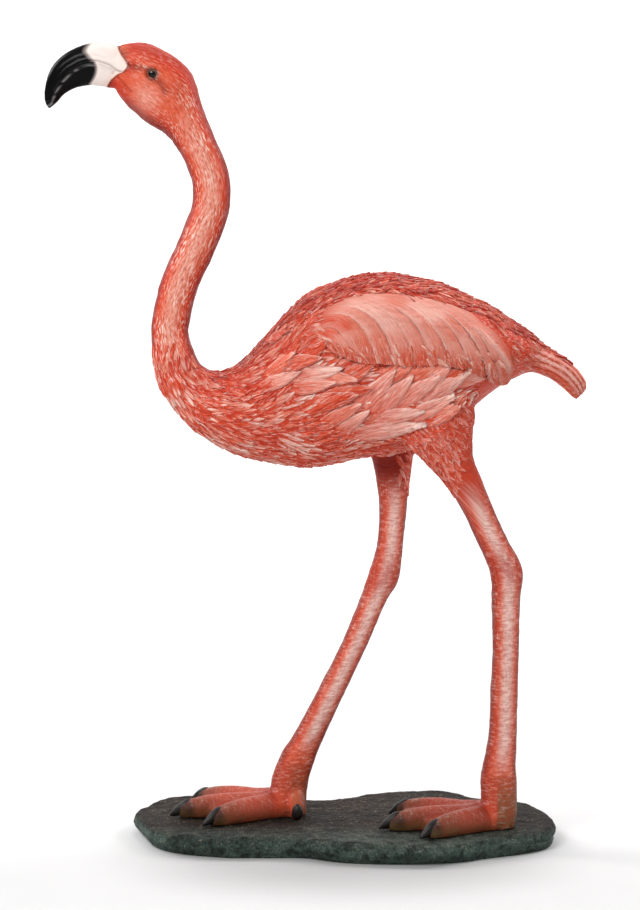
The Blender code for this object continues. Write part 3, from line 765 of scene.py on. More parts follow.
on_bill = ramp(bill_side, -0.8, 0.8)
blackness = ramp(black_x - x, -2.5, np.where(z > 992, 7, 3)) * on_bill
blackness = np.where(on_head & (x < -338), 1, blackness)
for code, amount in (
        (IVORY, on_bill),
        ("#EBC4B4", 0.5 * on_bill * np.exp(-(bill_side / 7) ** 2)),
        (BROWN, 0.5 * on_bill * np.exp(-(mouth / 0.9) ** 2) * sideways),
        (BROWN, 0.3 * on_bill * np.exp(-(mouth_second / 0.8) ** 2) * sideways),
        # Painted shade: the upward-facing top of the white bill is greyer.
        ("#B3A097", on_bill * 0.55 * ramp(out[:, 2], 0.6, 0.95)),
        ("#6F5F55", on_bill * 0.6 * blackness * (1 - blackness) * 4),
        (BLACK, blackness)):
    wash = tint(wash, code, amount)
# Painted highlight: thin pale streaks along the black lower mandible just below the mouth.
painted_bill_highlight = np.exp(-((mouth - 6) / 1.3) ** 2) * ramp(smooth_noise(straight, 19, (16, 3, 3)), -0.5, 0.3)
wash = tint(wash, "#A9A6A4", 0.5 * painted_bill_highlight * below_mouth * blackness * ramp(bill_side, 22, 34) * sideways)

dry = np.where(neck, 1.0, 0.5)
dry = np.where(neck, dry * (1 - 0.85 * ramp(facing, 0.6, 0.95)), dry)
dry = np.where(neck, dry * ramp(section, -4, 9), dry)
dry = np.where(on_leg, 0.45 * (1 - 0.6 * ramp(np.abs(across), 0.5, 1)), dry)
dry = np.where(on_leg & (z < 150), dry * (0.45 + 0.55 * ramp(z, 90, 150)), dry)
off_heel = ramp(np.abs(from_ankle - TOE_START), 1, 8)
dry = np.where(on_foot, 0.16 * ramp(z, 12, 24) * off_heel, dry)
dry = dry * (1 - on_bill)
dry = np.where((z > 400) & (z < 520) & (x > 20), dry * ramp(np.abs(z - LEG_HIGH), 4, 40), dry)
scute = np.where(on_leg, ramp(-z, -466, -446), 0) * (1 - on_toes * (1 - 0.5 * ramp(z, 10, 24)))
scute = scute * np.where(z < 60, off_heel, 1)
gloss = np.maximum(0.5 * on_bill, np.where(below_mouth, 1.0, 0.85) * blackness)


def give_points(piece, name, kind, values):
    """Stores one value per vertex under a name: a colour, a vector or a number."""
    layer = piece.data.attributes.new(name, kind, "POINT")
    if kind == "FLOAT_COLOR":
        full = np.hstack([values, np.ones((len(values), 1))])
        layer.data.foreach_set("color", full.astype(np.float32).ravel())
    elif kind == "FLOAT_VECTOR":
        layer.data.foreach_set("vector", values.astype(np.float32).ravel())
    else:
        layer.data.foreach_set("value", values.astype(np.float32).ravel())


give_points(casting, "wash", "FLOAT_COLOR", wash)
give_points(casting, "grain", "FLOAT_VECTOR", straight)
give_points(casting, "finish", "FLOAT_VECTOR", np.stack([dry, scute, gloss], axis=1))
give_points(casting, "smooth_out", "FLOAT_VECTOR", normals(casting))

# Satin acrylic sprayed over resin has a soft sheen, and smoother gloss on the bill; the
# strokes are about 8 mm long and 2 mm wide, and the scales of the legs are drawn 3 mm high.
skin_paint, tree, shader = new_material("airbrushed satin acrylic on cast resin")
wash_in = add_node(tree, "ShaderNodeAttribute", attribute_name="wash")
grain = add_node(tree, "ShaderNodeAttribute", attribute_name="grain").outputs["Vector"]
finish_in = add_node(tree, "ShaderNodeAttribute", attribute_name="finish")
finish = add_node(tree, "ShaderNodeSeparateXYZ", {0: finish_in.outputs["Vector"]})


def stretched(tree, source, scale):
    """Coordinates divided by millimetres along each axis."""
    return add_node(tree, "ShaderNodeVectorMath", {0: source, 1: [1 / s for s in scale]},
                    operation="MULTIPLY").outputs["Vector"]


def levels(tree, source, stops):
    """A colour ramp over a source, as one number."""
    node = add_node(tree, "ShaderNodeValToRGB", {"Fac": source})
    set_ramp(node, stops)
    return node.outputs["Color"]


def sum_of(tree, kind, first, second):
    """One arithmetic step."""
    return add_node(tree, "ShaderNodeMath", {0: first, 1: second}, operation=kind).outputs[0]


def mixed(tree, amount, first, second):
    """Mixes two colours, each a socket or a hex colour."""
    node = add_node(tree, "ShaderNodeMix", {"Factor": amount}, data_type="RGBA")
    for name, value in (("A_Color", first), ("B_Color", second)):
        socket = next(s for s in node.inputs if s.identifier == name)
        if isinstance(value, bpy.types.NodeSocket):
            tree.links.new(value, socket)
        else:
            socket.default_value = (*linear(value), 1)
    return next(s for s in node.outputs if s.identifier == "Result_Color")


# Short brush flecks lie along the grain; in the hollows between them the dark wash stays.
flecks = add_node(tree, "ShaderNodeTexNoise", {
    "Vector": stretched(tree, grain, (8, 2, 2)), "Scale": 1.0, "Detail": 3.0, "Roughness": 0.6})
scales = add_node(tree, "ShaderNodeTexVoronoi", {
    "Vector": stretched(tree, grain, (9, 2.6, 2.6)), "Scale": 1.0})
patches = add_node(tree, "ShaderNodeTexNoise", {
    "Vector": stretched(tree, grain, (45, 22, 22)), "Scale": 1.0, "Detail": 2.0})
scutes = add_node(tree, "ShaderNodeTexNoise", {
    "Vector": stretched(tree, grain, (2.7, 10, 10)), "Scale": 1.0, "Detail": 3.0, "Roughness": 0.6,
    "Distortion": 0.5})
fleck_mask = levels(tree, flecks.outputs["Fac"], [(0.53, 0.0), (0.62, 1.0)])
scale_mask = levels(tree, scales.outputs["Distance"], [(0.12, 1.0), (0.42, 0.0)])
scale_pick = levels(tree, add_node(tree, "ShaderNodeSeparateColor",
                                   {0: scales.outputs["Color"]}).outputs["Red"], [(0.45, 0.0), (0.75, 1.0)])
patch_mask = levels(tree, patches.outputs["Fac"], [(0.38, 0.25), (0.66, 1.0)])
pale_mask = sum_of(tree, "MULTIPLY", sum_of(tree, "MULTIPLY", scale_mask, scale_pick), 0.75)
pale_mask = sum_of(tree, "MAXIMUM", pale_mask, sum_of(tree, "MULTIPLY", fleck_mask, 0.8))
scute_line = levels(tree, scutes.outputs["Fac"], [(0.38, 0.0), (0.58, 1.0)])
scute_off = sum_of(tree, "SUBTRACT", 1.0, finish.outputs["Y"])
scute_pale = sum_of(tree, "MAXIMUM", scute_line, scute_off)
pale_amount = sum_of(tree, "MULTIPLY", sum_of(tree, "MULTIPLY", pale_mask, finish.outputs["X"]),
                     sum_of(tree, "MULTIPLY", patch_mask, scute_pale))
dark_mask = levels(tree, flecks.outputs["Fac"], [(0.34, 1.0), (0.46, 0.0)])
dark_amount = sum_of(tree, "MULTIPLY", dark_mask, sum_of(tree, "MULTIPLY", finish.outputs["X"], 0.7))
line_amount = sum_of(tree, "MULTIPLY", sum_of(tree, "SUBTRACT", 1.0, scute_line),
                     sum_of(tree, "MULTIPLY", finish.outputs["Y"], 0.42))
colour = mixed(tree, dark_amount, wash_in.outputs["Color"], "#A02A14")
colour = mixed(tree, line_amount, colour, "#A93A26")
scute_high = sum_of(tree, "MULTIPLY", levels(tree, scutes.outputs["Fac"], [(0.52, 0.0), (0.66, 1.0)]),
                    sum_of(tree, "MULTIPLY", finish.outputs["Y"], 0.22))
colour = mixed(tree, scute_high, colour, "#F3D3C7")
colour = mixed(tree, pale_amount, colour, "#F9E3D6")
tree.links.new(colour, shader.inputs["Base Color"])
relief = sum_of(tree, "ADD", sum_of(tree, "MULTIPLY", flecks.outputs["Fac"], 1.0),
                sum_of(tree, "MULTIPLY", scale_mask, 0.25))
relief = sum_of(tree, "MULTIPLY", relief, sum_of(tree, "SUBTRACT", 1.0, finish.outputs["Z"]))
relief = sum_of(tree, "ADD", relief, sum_of(tree, "MULTIPLY", scute_line,
                                            sum_of(tree, "MULTIPLY", finish.outputs["Y"], 0.5)))
bump = add_node(tree, "ShaderNodeBump", {"Height": relief, "Strength": 0.9, "Distance": 0.0010})
tree.links.new(bump.outputs["Normal"], shader.inputs["Normal"])
roughness = add_node(tree, "ShaderNodeMapRange", {
    "Value": finish.outputs["Z"], "To Min": 0.44, "To Max": 0.14})
tree.links.new(roughness.outputs["Result"], shader.inputs["Roughness"])
shader.inputs["Specular IOR Level"].default_value = 0.17
casting.data.materials.append(skin_paint)
bill_paint = skin_paint.copy()
bill_paint.name = "gloss black enamel on the bill"
bill_paint.node_tree.nodes["Principled BSDF"].inputs["Specular IOR Level"].default_value = 0.06
casting.data.materials.append(bill_paint)
for face in casting.data.polygons:
    face.material_index = int(all(blackness[i] > 0.6 for i in face.vertices))
casting.data.shade_smooth()

# Parts of the casting
# The casting is split into four lengths of one surface: head with bill, neck, body,
# and legs with feet; normals run on across the cuts. Each kept light enough on its own.
def cut_off(name, chosen):
    """Separates the faces whose corners are all chosen into a piece of their own."""
    pick(casting)
    bpy.ops.object.mode_set(mode="EDIT")
    bpy.ops.mesh.select_mode(type="VERT")
    bpy.ops.mesh.select_all(action="DESELECT")
    bpy.ops.object.mode_set(mode="OBJECT")
    casting.data.vertices.foreach_set("select", chosen)
    bpy.ops.object.mode_set(mode="EDIT")
    bpy.ops.mesh.select_mode(type="FACE")
    bpy.ops.mesh.separate(type="SELECTED")
    bpy.ops.object.mode_set(mode="OBJECT")
    piece = next(o for o in bpy.context.selected_objects if o != casting)
    piece.name = name
    return piece


skin_mesh = bmesh.new()
skin_mesh.from_mesh(casting.data)
skin = BVHTree.FromBMesh(skin_mesh)


LEG_CUT = 440
NECK_CUT = 17
legs_piece = cut_off("legs_and_feet", drawn_places(casting)[:, 2] < LEG_CUT)
drawn = drawn_places(casting)
head_piece = cut_off("head_and_bill", (along_trunk(drawn)[0] < HEAD_END + 0.6) & (drawn[:, 2] > HEAD_LOW))
drawn = drawn_places(casting)
neck_piece = cut_off("neck", (along_trunk(drawn)[0] < NECK_CUT) & (drawn[:, 0] < -100))
casting.name = "body"
for piece in (head_piece, neck_piece, casting, legs_piece):
    layer = piece.data.attributes["smooth_out"]
    kept = np.empty(len(piece.data.vertices) * 3, np.float32)
    layer.data.foreach_get("vector", kept)
    piece.data.attributes.remove(layer)
    piece.data.normals_split_custom_set_from_vertices(kept.reshape(-1, 3).tolist())
    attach(piece, "root")
    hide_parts("flamingo")

# Carved feathers
# Each feather stands a little proud of the body as one leaf cut in the master: highest
# at its free point, sunk into the skin at its root, with a dark wash left round its edge.
DARK_WASH = "#5E180C"
FEATHER_SIDE_SHADE = "#9A2C1A"


def leaf_template(along, across):
    """A grid primitive as a leaf: places along 0 to 1 and across -1 to 1, and its faces."""
    bpy.ops.object.select_all(action="DESELECT")
    bpy.ops.mesh.primitive_grid_add(x_subdivisions=along, y_subdivisions=across, size=1)
    leaf = bpy.context.object
    spread = places(leaf)
    faces = np.array([list(face.vertices) for face in leaf.data.polygons])
    bpy.data.objects.remove(leaf)
    return spread[:, 0] + 0.5, spread[:, 1] * 2, faces


def leaf_width(u, pointed):
    """Share of the half width at a place along the leaf, its point blunt or pointed."""
    opening = np.sqrt(np.clip(1 - (1 - u / 0.42) ** 2, 0, 1))
    closing = np.clip(1 - ((u - 0.42) / 0.58) ** (1.5 if pointed else 1.75), 0, 1)
    return np.maximum(np.where(u < 0.42, 0.35 + 0.65 * opening, closing), 0.04)


def lay(name, template, feathers, seed, soft=0.0, painted_light=1.0):
    """Copies the leaf onto the skin: each feather has root, direction, length, half width,
    rise, bend, colour at root, colour at point and paleness of its edge. Soft weakens the
    streaks along the barbs, and the last setting lifts the whole piece's paint as painted
    light, where the lamps leave the piece too dark."""
    u, v, faces = template
    count = len(u)
    rim = (np.abs(v) > 0.999) | (u < 0.001) | (u > 0.999)
    chance = np.random.default_rng(seed)
    points = []
    colours = []
    leaf_places = []
    for root, direction, length, half, rise, bend, root_colour, point_colour, edge in feathers:
        ground, out = skin.find_nearest(Vector(root))[:2]
        ahead = direction - out * direction.dot(out)
        ahead.normalize()
        aside = out.cross(ahead)
        width = half * leaf_width(u, half < 7)
        spine = Vector(ground)
        step_along = length * u
        step_across = width * v + bend * u * u
        barbs = chance.uniform(-1, 1, 41)
        ridge = np.interp(v * np.clip(1.4 - 0.5 * u, 0.4, 1.4), np.linspace(-1.4, 1.4, 41), barbs)
        lift = rise * (0.12 + 0.88 * u ** 1.2) * (1 - 0.45 * v * v) + 0.05 * half * ridge
        lift -= 0.10 * rise * np.exp(-(v / 0.10) ** 2) * (half > 5)
        lift = np.where(rim, -1.2, lift)
        for i in range(count):
            place = spine + (ahead * step_along[i] + aside * step_across[i]) * UNIT
            near, normal = skin.find_nearest(place)[:2]
            points.append(near + normal * (lift[i] * UNIT))
        shade = np.clip(u * 1.15, 0, 1)[:, None]
        colour = linear(root_colour) * (1 - shade) + linear(point_colour) * shade
        outer = np.clip(np.maximum(ramp(np.abs(v), 0.62, 0.95), ramp(u, 0.8, 0.98)), 0, 1)
        paleness = edge * outer * ramp(u, 0.1, 0.5)
        colour = colour + (linear(CREAM) - colour) * paleness[:, None]
        # Painted shade along one edge of each large feather.
        side_shade = 0.7 * ramp(-v, 0.5, 0.9) * (half > 7)
        colour = colour + (linear(FEATHER_SIDE_SHADE) - colour) * side_shade[:, None]
        colour = np.where(rim[:, None], linear(DARK_WASH), colour)
        # Painted light: the whole piece's paint is lifted by the last setting.
        colours.append(np.minimum(colour * painted_light, 1.0))
        number = chance.uniform(0, 400)
        leaf_places.append(np.stack([step_across, step_along, np.full(count, number)], axis=1))
    total = len(feathers)
    all_faces = (faces[None] + (np.arange(total) * count)[:, None, None]).reshape(-1, faces.shape[1])
    data = bpy.data.meshes.new(name)
    data.from_pydata(np.array(points).reshape(-1, 3).tolist(), [], all_faces.tolist())
    piece = bpy.data.objects.new(name, data)
    bpy.context.scene.collection.objects.link(piece)
    give_points(piece, "wash", "FLOAT_COLOR", np.vstack(colours))
    give_points(piece, "leaf", "FLOAT_VECTOR", np.vstack(leaf_places))
    give_points(piece, "soft", "FLOAT", np.full(total * count, soft))
    return finish_feathers(piece)


def finish_feathers(piece):
    """Turns the faces outward, smooths them up to the rim and paints them."""
    pick(piece)
    middle = piece.data.polygons[len(piece.data.polygons) // 2]
    near, normal = skin.find_nearest(middle.center)[:2]
    if middle.normal.dot(normal) < 0:
        bpy.ops.object.mode_set(mode="EDIT")
        bpy.ops.mesh.select_all(action="SELECT")
        bpy.ops.mesh.flip_normals()
        bpy.ops.object.mode_set(mode="OBJECT")
    bpy.ops.object.shade_smooth_by_angle(angle=math.radians(50))
    piece.data.materials.append(feather_paint)
    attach(piece, "root")
    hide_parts("flamingo")
    return piece


# A dry brush leaves pale hairs on the high barbs, which are drawn 1 mm wide and 13 mm
# long, a little coarser than real, so that they show; red stays in the cuts between.
feather_paint, tree, shader = new_material("dry-brushed satin acrylic on carved feathers")
wash_in = add_node(tree, "ShaderNodeAttribute", attribute_name="wash")
leaf = add_node(tree, "ShaderNodeAttribute", attribute_name="leaf").outputs["Vector"]
soft_in = add_node(tree, "ShaderNodeAttribute", attribute_name="soft")
barbs = add_node(tree, "ShaderNodeTexNoise", {
    "Vector": stretched(tree, leaf, (0.9, 13, 1)), "Scale": 1.0, "Detail": 3.0, "Roughness": 0.6})
blush = add_node(tree, "ShaderNodeTexNoise", {
    "Vector": stretched(tree, leaf, (7, 16, 1)), "Scale": 1.0, "Detail": 2.0})
streaks = add_node(tree, "ShaderNodeTexNoise", {
    "Vector": stretched(tree, leaf, (2.6, 34, 1)), "Scale": 1.0, "Detail": 2.0})
barb_pale = levels(tree, barbs.outputs["Fac"], [(0.52, 0.0), (0.63, 1.0)])
barb_dark = levels(tree, barbs.outputs["Fac"], [(0.34, 1.0), (0.46, 0.0)])
blush_mask = levels(tree, blush.outputs["Fac"], [(0.36, 0.15), (0.64, 1.0)])
streak_mask = sum_of(tree, "MULTIPLY", levels(tree, streaks.outputs["Fac"], [(0.44, 1.0), (0.58, 0.0)]), 0.5)
crisp = sum_of(tree, "SUBTRACT", 1.0, sum_of(tree, "MULTIPLY", soft_in.outputs["Fac"], 0.62))
streak_amount = sum_of(tree, "MULTIPLY", streak_mask, crisp)
dark_amount = sum_of(tree, "MULTIPLY", barb_dark, sum_of(tree, "MULTIPLY", crisp, 0.6))
pale_amount = sum_of(tree, "MULTIPLY", sum_of(tree, "MULTIPLY", barb_pale, blush_mask),
                     sum_of(tree, "MULTIPLY", crisp, 0.75))
colour = mixed(tree, streak_amount, wash_in.outputs["Color"], "#C63618")
colour = mixed(tree, dark_amount, colour, "#8A210F")
colour = mixed(tree, pale_amount, colour, "#FAE6DA")
tree.links.new(colour, shader.inputs["Base Color"])
bump = add_node(tree, "ShaderNodeBump", {"Height": barbs.outputs["Fac"], "Strength": 0.9, "Distance": 0.0011})
tree.links.new(bump.outputs["Normal"], shader.inputs["Normal"])
shader.inputs["Roughness"].default_value = 0.42
shader.inputs["Specular IOR Level"].default_value = 0.16

# Folded wings
# Each wing lies as one smooth pale swell on the side of the body; the long quills show
# only as shallow curved cuts, and it ends behind in a blunt folded tip.
WING_TOP = [(-34, 671), (-12, 688), (20, 697), (71, 697), (122, 688), (160, 674), (192, 654),
            (209, 632), (216, 611)]
WING_BOTTOM = [(-34, 645), (-12, 623), (20, 611), (71, 607), (122, 607), (160, 598), (192, 583),
               (209, 583), (217, 595)]
WING_SWELL = 9
QUILL_SPACING = 24
QUILL_SWEEP = 104
WING_ROWS = 108
WING_PALE = "#E39887"


def side_place(wanted_x, wanted_z, side):
    """Where the skin's side lies at a drawn place in the side view, and its normal."""
    start = Vector(to_world((wanted_x, side * 400, wanted_z)))
    place, normal = skin.ray_cast(start, Vector((0, -side, 0)))[:2]
    if place is None:
        place, normal = skin.find_nearest(Vector(to_world((wanted_x, side * 45, wanted_z))))[:2]
    return place, normal


def make_wing(side):
    """A grid laid on the flank between the wing's two edges, swollen and engraved."""
    edges = smooth_run([(*a, *b) for a, b in zip(WING_TOP, WING_BOTTOM)], 30)
    columns = len(edges)
    bpy.ops.object.select_all(action="DESELECT")
    bpy.ops.mesh.primitive_grid_add(x_subdivisions=columns - 1, y_subdivisions=WING_ROWS, size=1)
    wing = bpy.context.object
    wing.name = "left_wing" if side < 0 else "right_wing"
    grid = places(wing)
    along = np.clip(grid[:, 0] + 0.5, 0, 1)
    down = np.clip(0.5 - grid[:, 1], 0, 1)
    column = np.rint(along * (columns - 1)).astype(int)
    top = edges[column, 0:2]
    bottom = edges[column, 2:4]
    flat = top + (bottom - top) * down[:, None]
    depth = np.linalg.norm(flat - top, axis=1)
    reach = np.linalg.norm(bottom - top, axis=1)
    quill = flat[:, 0] - QUILL_SWEEP * (1 - np.exp(-depth / 26))
    wander = np.interp(quill, np.linspace(-160, 260, 70), np.random.default_rng(21).uniform(-3, 3, 70))
    phase = (quill + wander + 400) / QUILL_SPACING
    from_cut = np.abs(phase - np.rint(phase)) * QUILL_SPACING
    fade = ramp(depth, 6, 26) * ramp(-along, -0.86, -0.76)
    end = np.minimum(ramp(along, -0.05, 0.22), 0.5 + 4 * (1 - along))
    crown = (1 - np.abs(2 * down - 1) ** 3.2) ** 0.5 * (0.35 + 0.65 * ramp(down, 0.0, 0.4))
    lower = 0.75 * np.clip(2 * down - 1, 0, 1)
    swell = WING_SWELL * end * np.maximum(crown, lower)
    rim = (down < 0.001) | (down > 0.999) | (along < 0.001) | (along > 0.999)
    strength = np.random.default_rng(8).uniform(0.3, 1.0, 60)[np.rint(phase).astype(int)]
    on_quill = np.stack([quill, depth, 0 * depth], axis=1)
    come_and_go = ramp(smooth_noise(on_quill, 14, (22, 30, 30)), -0.45, 0.35)
    cut = np.exp(-(from_cut / 1.1) ** 2) * strength * (0.15 + 0.85 * come_and_go)
    step = (phase - np.floor(phase) - 0.5) * 0.55
    fine = smooth_noise(on_quill, 9, (2.2, 40, 40))
    swell += fade * (-1.2 * cut + step) + 0.25 * fine * ramp(depth, 0, 10)
    ridge_line = line_distance(flat[:, 0], flat[:, 1], [(140, 672), (175, 646), (200, 618), (208, 604)])
    swell += 2.0 * np.exp(-(ridge_line / 5) ** 2) * ramp(along, 0.6, 0.75)
    past_ridge = flat[:, 0] - np.interp(flat[:, 1], [600, 672], [216, 148])
    swell -= 2.4 * ramp(past_ridge, 2, 9) * ramp(along, 0.6, 0.7)
    swell = np.where(rim, -2.5, swell)
    place_list = []
    for (flat_x, flat_z), height in zip(flat, swell):
        place, normal = side_place(flat_x, flat_z, side)
        outward = (normal * 0.6 + Vector((0, side, 0)) * 0.4).normalized()
        place_list.append(place + outward * (height * UNIT))
    set_places(wing, np.array(place_list))
    blotches = ramp(smooth_noise(on_quill, 12, (9, 26, 26)), -0.4, 0.5)
    low_red = ramp(down, 0.62, 0.95) * (0.45 + 0.55 * blotches)
    colour = np.tile(linear(WING_PALE), (len(down), 1))
    each = np.random.default_rng(17).uniform(0, 1, 60)[np.floor(phase).astype(int)]
    colour = tint(colour, "#D66F59", 0.6 * each * fade)
    colour = tint(colour, "#EFC0B2", 0.55 * (1 - each) * ramp(depth, 0, 20) * ramp(-down, -0.75, -0.4))
    cloud = smooth_noise(np.stack([flat[:, 0], flat[:, 1], 0 * depth], axis=1), 15, (34, 16, 30))
    for code, amount in (
            ("#D8694F", 0.65 * ramp(cloud, 0.1, 0.9)),
            ("#D65A3E", 0.8 * ramp(along, 0.5, 0.85)),
            ("#D04B2D", low_red * ramp(-along, -0.9, -0.7)),
            ("#D2492A", 0.85 * ramp(0.14 * cloud - along, -0.20, -0.05)),
            ("#D25F41", 0.35 * fade * ramp(step, 0.05, 0.27)),
            ("#F6D9CC", 0.30 * fade * ramp(-step, 0.05, 0.27)),
            ("#F6D9CC", 0.5 * np.exp(-(ridge_line / 4) ** 2) * ramp(along, 0.6, 0.75)),
            ("#6E2114", 0.95 * fade * cut)):
        colour = tint(colour, code, amount)
    colour = np.where(rim[:, None], linear(DARK_WASH), colour)
    give_points(wing, "wash", "FLOAT_COLOR", colour)
    give_points(wing, "leaf", "FLOAT_VECTOR", np.stack([quill, depth, 0 * depth + 37 * side], axis=1))
    give_points(wing, "soft", "FLOAT", 1.0 - 0.7 * ramp(down, 0.6, 0.9))
    return finish_feathers(wing)


for side in (-1, 1):
    make_wing(side)

# Flank feathers
# Below the wing two dozen broad leaf-shaped feathers sweep up and back, the lowest the
# largest and palest; they are placed one by one, alike on both flanks.
FLANK = [
    (-97, 636, -55, 642, 9, "#BE3E24"), (-99, 592, -66, 615, 9, "#E07A62"),
    (-106, 578, -61, 592, 9, "#F2BCAC"), (-49, 618, -23, 630, 8, "#C84A2E"),
    (-64, 589, -12, 598, 10, "#F2CDBF"), (-66, 578, -20, 579, 9, "#EEA896"),
    (-49, 551, 3, 574, 12, "#CF4B2D"), (-26, 532, 13, 555, 10, "#E88E79"),
    (-11, 582, 37, 608, 11, "#D4634A"), (-6, 521, 27, 545, 9, "#F1B5A5"),
    (15, 548, 60, 590, 13, "#EFAB9B"), (10, 514, 87, 532, 14, "#F7CCBE"),
    (34, 540, 78, 587, 13, "#F0B09F"), (30, 534, 88, 550, 12, "#F3BBAC"),
    (42, 585, 84, 611, 11, "#E88872"), (66, 534, 128, 562, 12, "#F1B5A5"),
    (74, 588, 115, 613, 11, "#E37E66"), (60, 552, 108, 590, 13, "#F2B2A2"),
    (96, 534, 146, 560, 12, "#E89683"), (84, 563, 131, 608, 13, "#F0AC9C"),
    (87, 553, 151, 594, 14, "#F5C0B1"), (112, 585, 150, 602, 10, "#CF5C42"),
    (140, 583, 186, 594, 9, "#F2BCAC"), (-84, 604, -36, 618, 10, "#D4634A"),
    (-42, 596, 6, 588, 10, "#EA9782"), (-30, 562, 24, 582, 11, "#D2583D")]
FLANK_ROOT = "#CE4A2C"
large_leaf = leaf_template(22, 12)
flank = []
picker = random.Random(5)
for side in (-1, 1):
    for root_x, root_z, tip_x, tip_z, half, tone in FLANK:
        span = math.hypot(tip_x - root_x, tip_z - root_z)
        root, normal = side_place(root_x - 0.12 * (tip_x - root_x), root_z - 0.12 * (tip_z - root_z), side)
        tip, normal = side_place(tip_x, tip_z, side)
        flank.append((root, (tip - root).normalized(), 1.4 * span, 1.2 * half, 6.5, picker.uniform(-9, 9),
                      FLANK_ROOT, tone, 0.5))
# Painted light: the flank feathers' paint is lifted where the lamps leave them too dark.
lay("flank_feathers", large_leaf, flank, 31, soft=0.35, painted_light=1.14)

# Small feathers
# Short pointed tufts cover the back, the shoulders, the breast and the belly; all come
# from one small leaf, laid in staggered rows like tiles, with the hand's unevenness.
small_leaf = leaf_template(7, 4)


def skin_place(number, degrees, side):
    """A place on the trunk's own drawn sections, in metres."""
    steps = np.arange(len(trunk_run))
    row = [np.interp(number * RUN_STEPS, steps, trunk_run[:, c]) for c in range(6)]
    angle = math.radians(degrees)
    up = math.cos(angle)
    back_x, back_z, front_x, front_z, half_width, fullness = row
    return Vector(to_world(((back_x + front_x) / 2 + (back_x - front_x) / 2 * up,
                            side * half_width * math.sin(angle) * (1 + fullness * up),
                            (back_z + front_z) / 2 + (back_z - front_z) / 2 * up)))


def tufts(first, last, low, high, spacing, gap, length, half, rise, tones, edge, seed, sway=14, turn_down=0):
    """Staggered rows of tufts between two sections and two turns from the back."""
    dice = random.Random(seed)
    laid = []
    number = first
    row = 0
    while number < last:
        middle = (low + high) / 2
        probe = (skin_place(number + 0.05, middle, -1) - skin_place(number, middle, -1)).length
        girth = sum((skin_place(number, low + (high - low) * (k + 1) / 8, -1)
                     - skin_place(number, low + (high - low) * k / 8, -1)).length for k in range(8)) / UNIT
        across = max(2, int(girth / gap))
        for side in (-1, 1):
            for k in range(across):
                share = (k + (0.5 if row % 2 else 0.0) + dice.uniform(-0.3, 0.3)) / across
                degrees = low + (high - low) * share
                start = number + dice.uniform(-0.25, 0.25) * spacing * UNIT / max(probe, 1e-5) * 0.05
                root = skin_place(start, degrees, side)
                ahead = (skin_place(start + 0.3, degrees + turn_down, side) - root).normalized()
                normal = skin.find_nearest(root)[1]
                aside = normal.cross(ahead)
                spot_place = np.array([[root.x / UNIT, root.y / UNIT, root.z / UNIT]])
                flow = float(smooth_noise(spot_place, seed, (38, 38, 30))[0])
                lit = float(smooth_noise(spot_place, seed + 1, (26, 26, 14))[0])
                swerve = math.radians(dice.gauss(0, 0.5 * sway) + 2 * sway * flow)
                ahead = (ahead + aside * side * math.tan(swerve)).normalized()
                size = dice.uniform(0.75, 1.3)
                choice = 0.5 + 0.75 * lit + dice.uniform(-0.28, 0.28)
                tone = tones[min(len(tones) - 1, max(0, int(choice * len(tones))))]
                laid.append((root, ahead, length * size, half * size, rise * dice.uniform(0.6, 1.3),
                             dice.uniform(-0.12, 0.12) * length, *tone, edge * dice.uniform(0.2, 1.2)))
        number += spacing * UNIT / max(probe, 1e-5) * 0.05
        row += 1
    return laid


BREAST_TONES = [("#AE2A10", "#D03C1E"), ("#C03214", "#DC4E2E"), ("#C03214", "#E26242"),
                ("#C43416", "#E88A70"), ("#C43619", "#EDAB96"), ("#CC4428", "#F9D8CA")]
BACK_TONES = [("#86190C", "#B52A16"), ("#86190C", "#A82312"), ("#921F0E", "#C63C22"), ("#86190C", "#D05A3E")]
SHOULDER_TONES = [("#B82A13", "#D64325"), ("#C02D12", "#DE5836"), ("#B82A13", "#E47B5F"),
                  ("#A52510", "#CC3618"), ("#C02D12", "#EFAC98")]
breast = tufts(16.2, 31.5, 76, 180, 8, 7.5, 21, 3.6, 2.5, BREAST_TONES, 0.35, 41)
# Painted light: the breast tufts' paint is lifted where the lamps leave them too dark.
lay("breast_tufts", small_leaf, breast, 42, painted_light=1.14)
shoulder = tufts(16.6, 25.5, 30, 84, 9, 8, 23, 4.4, 2.4, SHOULDER_TONES, 0.3, 43)
lay("shoulder_tufts", small_leaf, shoulder, 44, soft=0.3)
back = tufts(18.5, 36.2, 0, 41, 10, 8, 22, 4.4, 3.2, BACK_TONES, 0.3, 45, sway=16)
lay("back_tufts", small_leaf, back, 46, soft=0.6)

# Thigh, rump and wing fringe
# Tufts run down the thighs and over the rump, and small pointed ones hang over every edge
# of the wing, so that it grows out of the plumage without a step.
def strewn(rows, half, length, rise, tones, edge, seed, sway):
    """Tufts at places in the side view, alike on both sides, each row with its own
    direction and count."""
    laid = []
    for side in (-1, 1):
        dice = random.Random(seed)
        for start_x, start_z, stop_x, stop_z, count, heading in rows:
            for k in range(count):
                share = (k + dice.uniform(0, 0.8)) / count
                root_x = start_x + (stop_x - start_x) * share + dice.uniform(-2, 2)
                root_z = start_z + (stop_z - start_z) * share + dice.uniform(-2, 2)
                angle = math.radians(heading + dice.gauss(0, sway))
                root, normal = side_place(root_x, root_z, side)
                tip, normal = side_place(root_x + 6 * math.cos(angle), root_z + 6 * math.sin(angle), side)
                size = dice.uniform(0.8, 1.25)
                tone = dice.choice(tones)
                laid.append((root, (tip - root).normalized(), length * size, half * size,
                             rise * dice.uniform(0.6, 1.3), dice.uniform(-0.1, 0.1) * length, *tone,
                             edge * dice.uniform(0.2, 1.2)))
    return laid


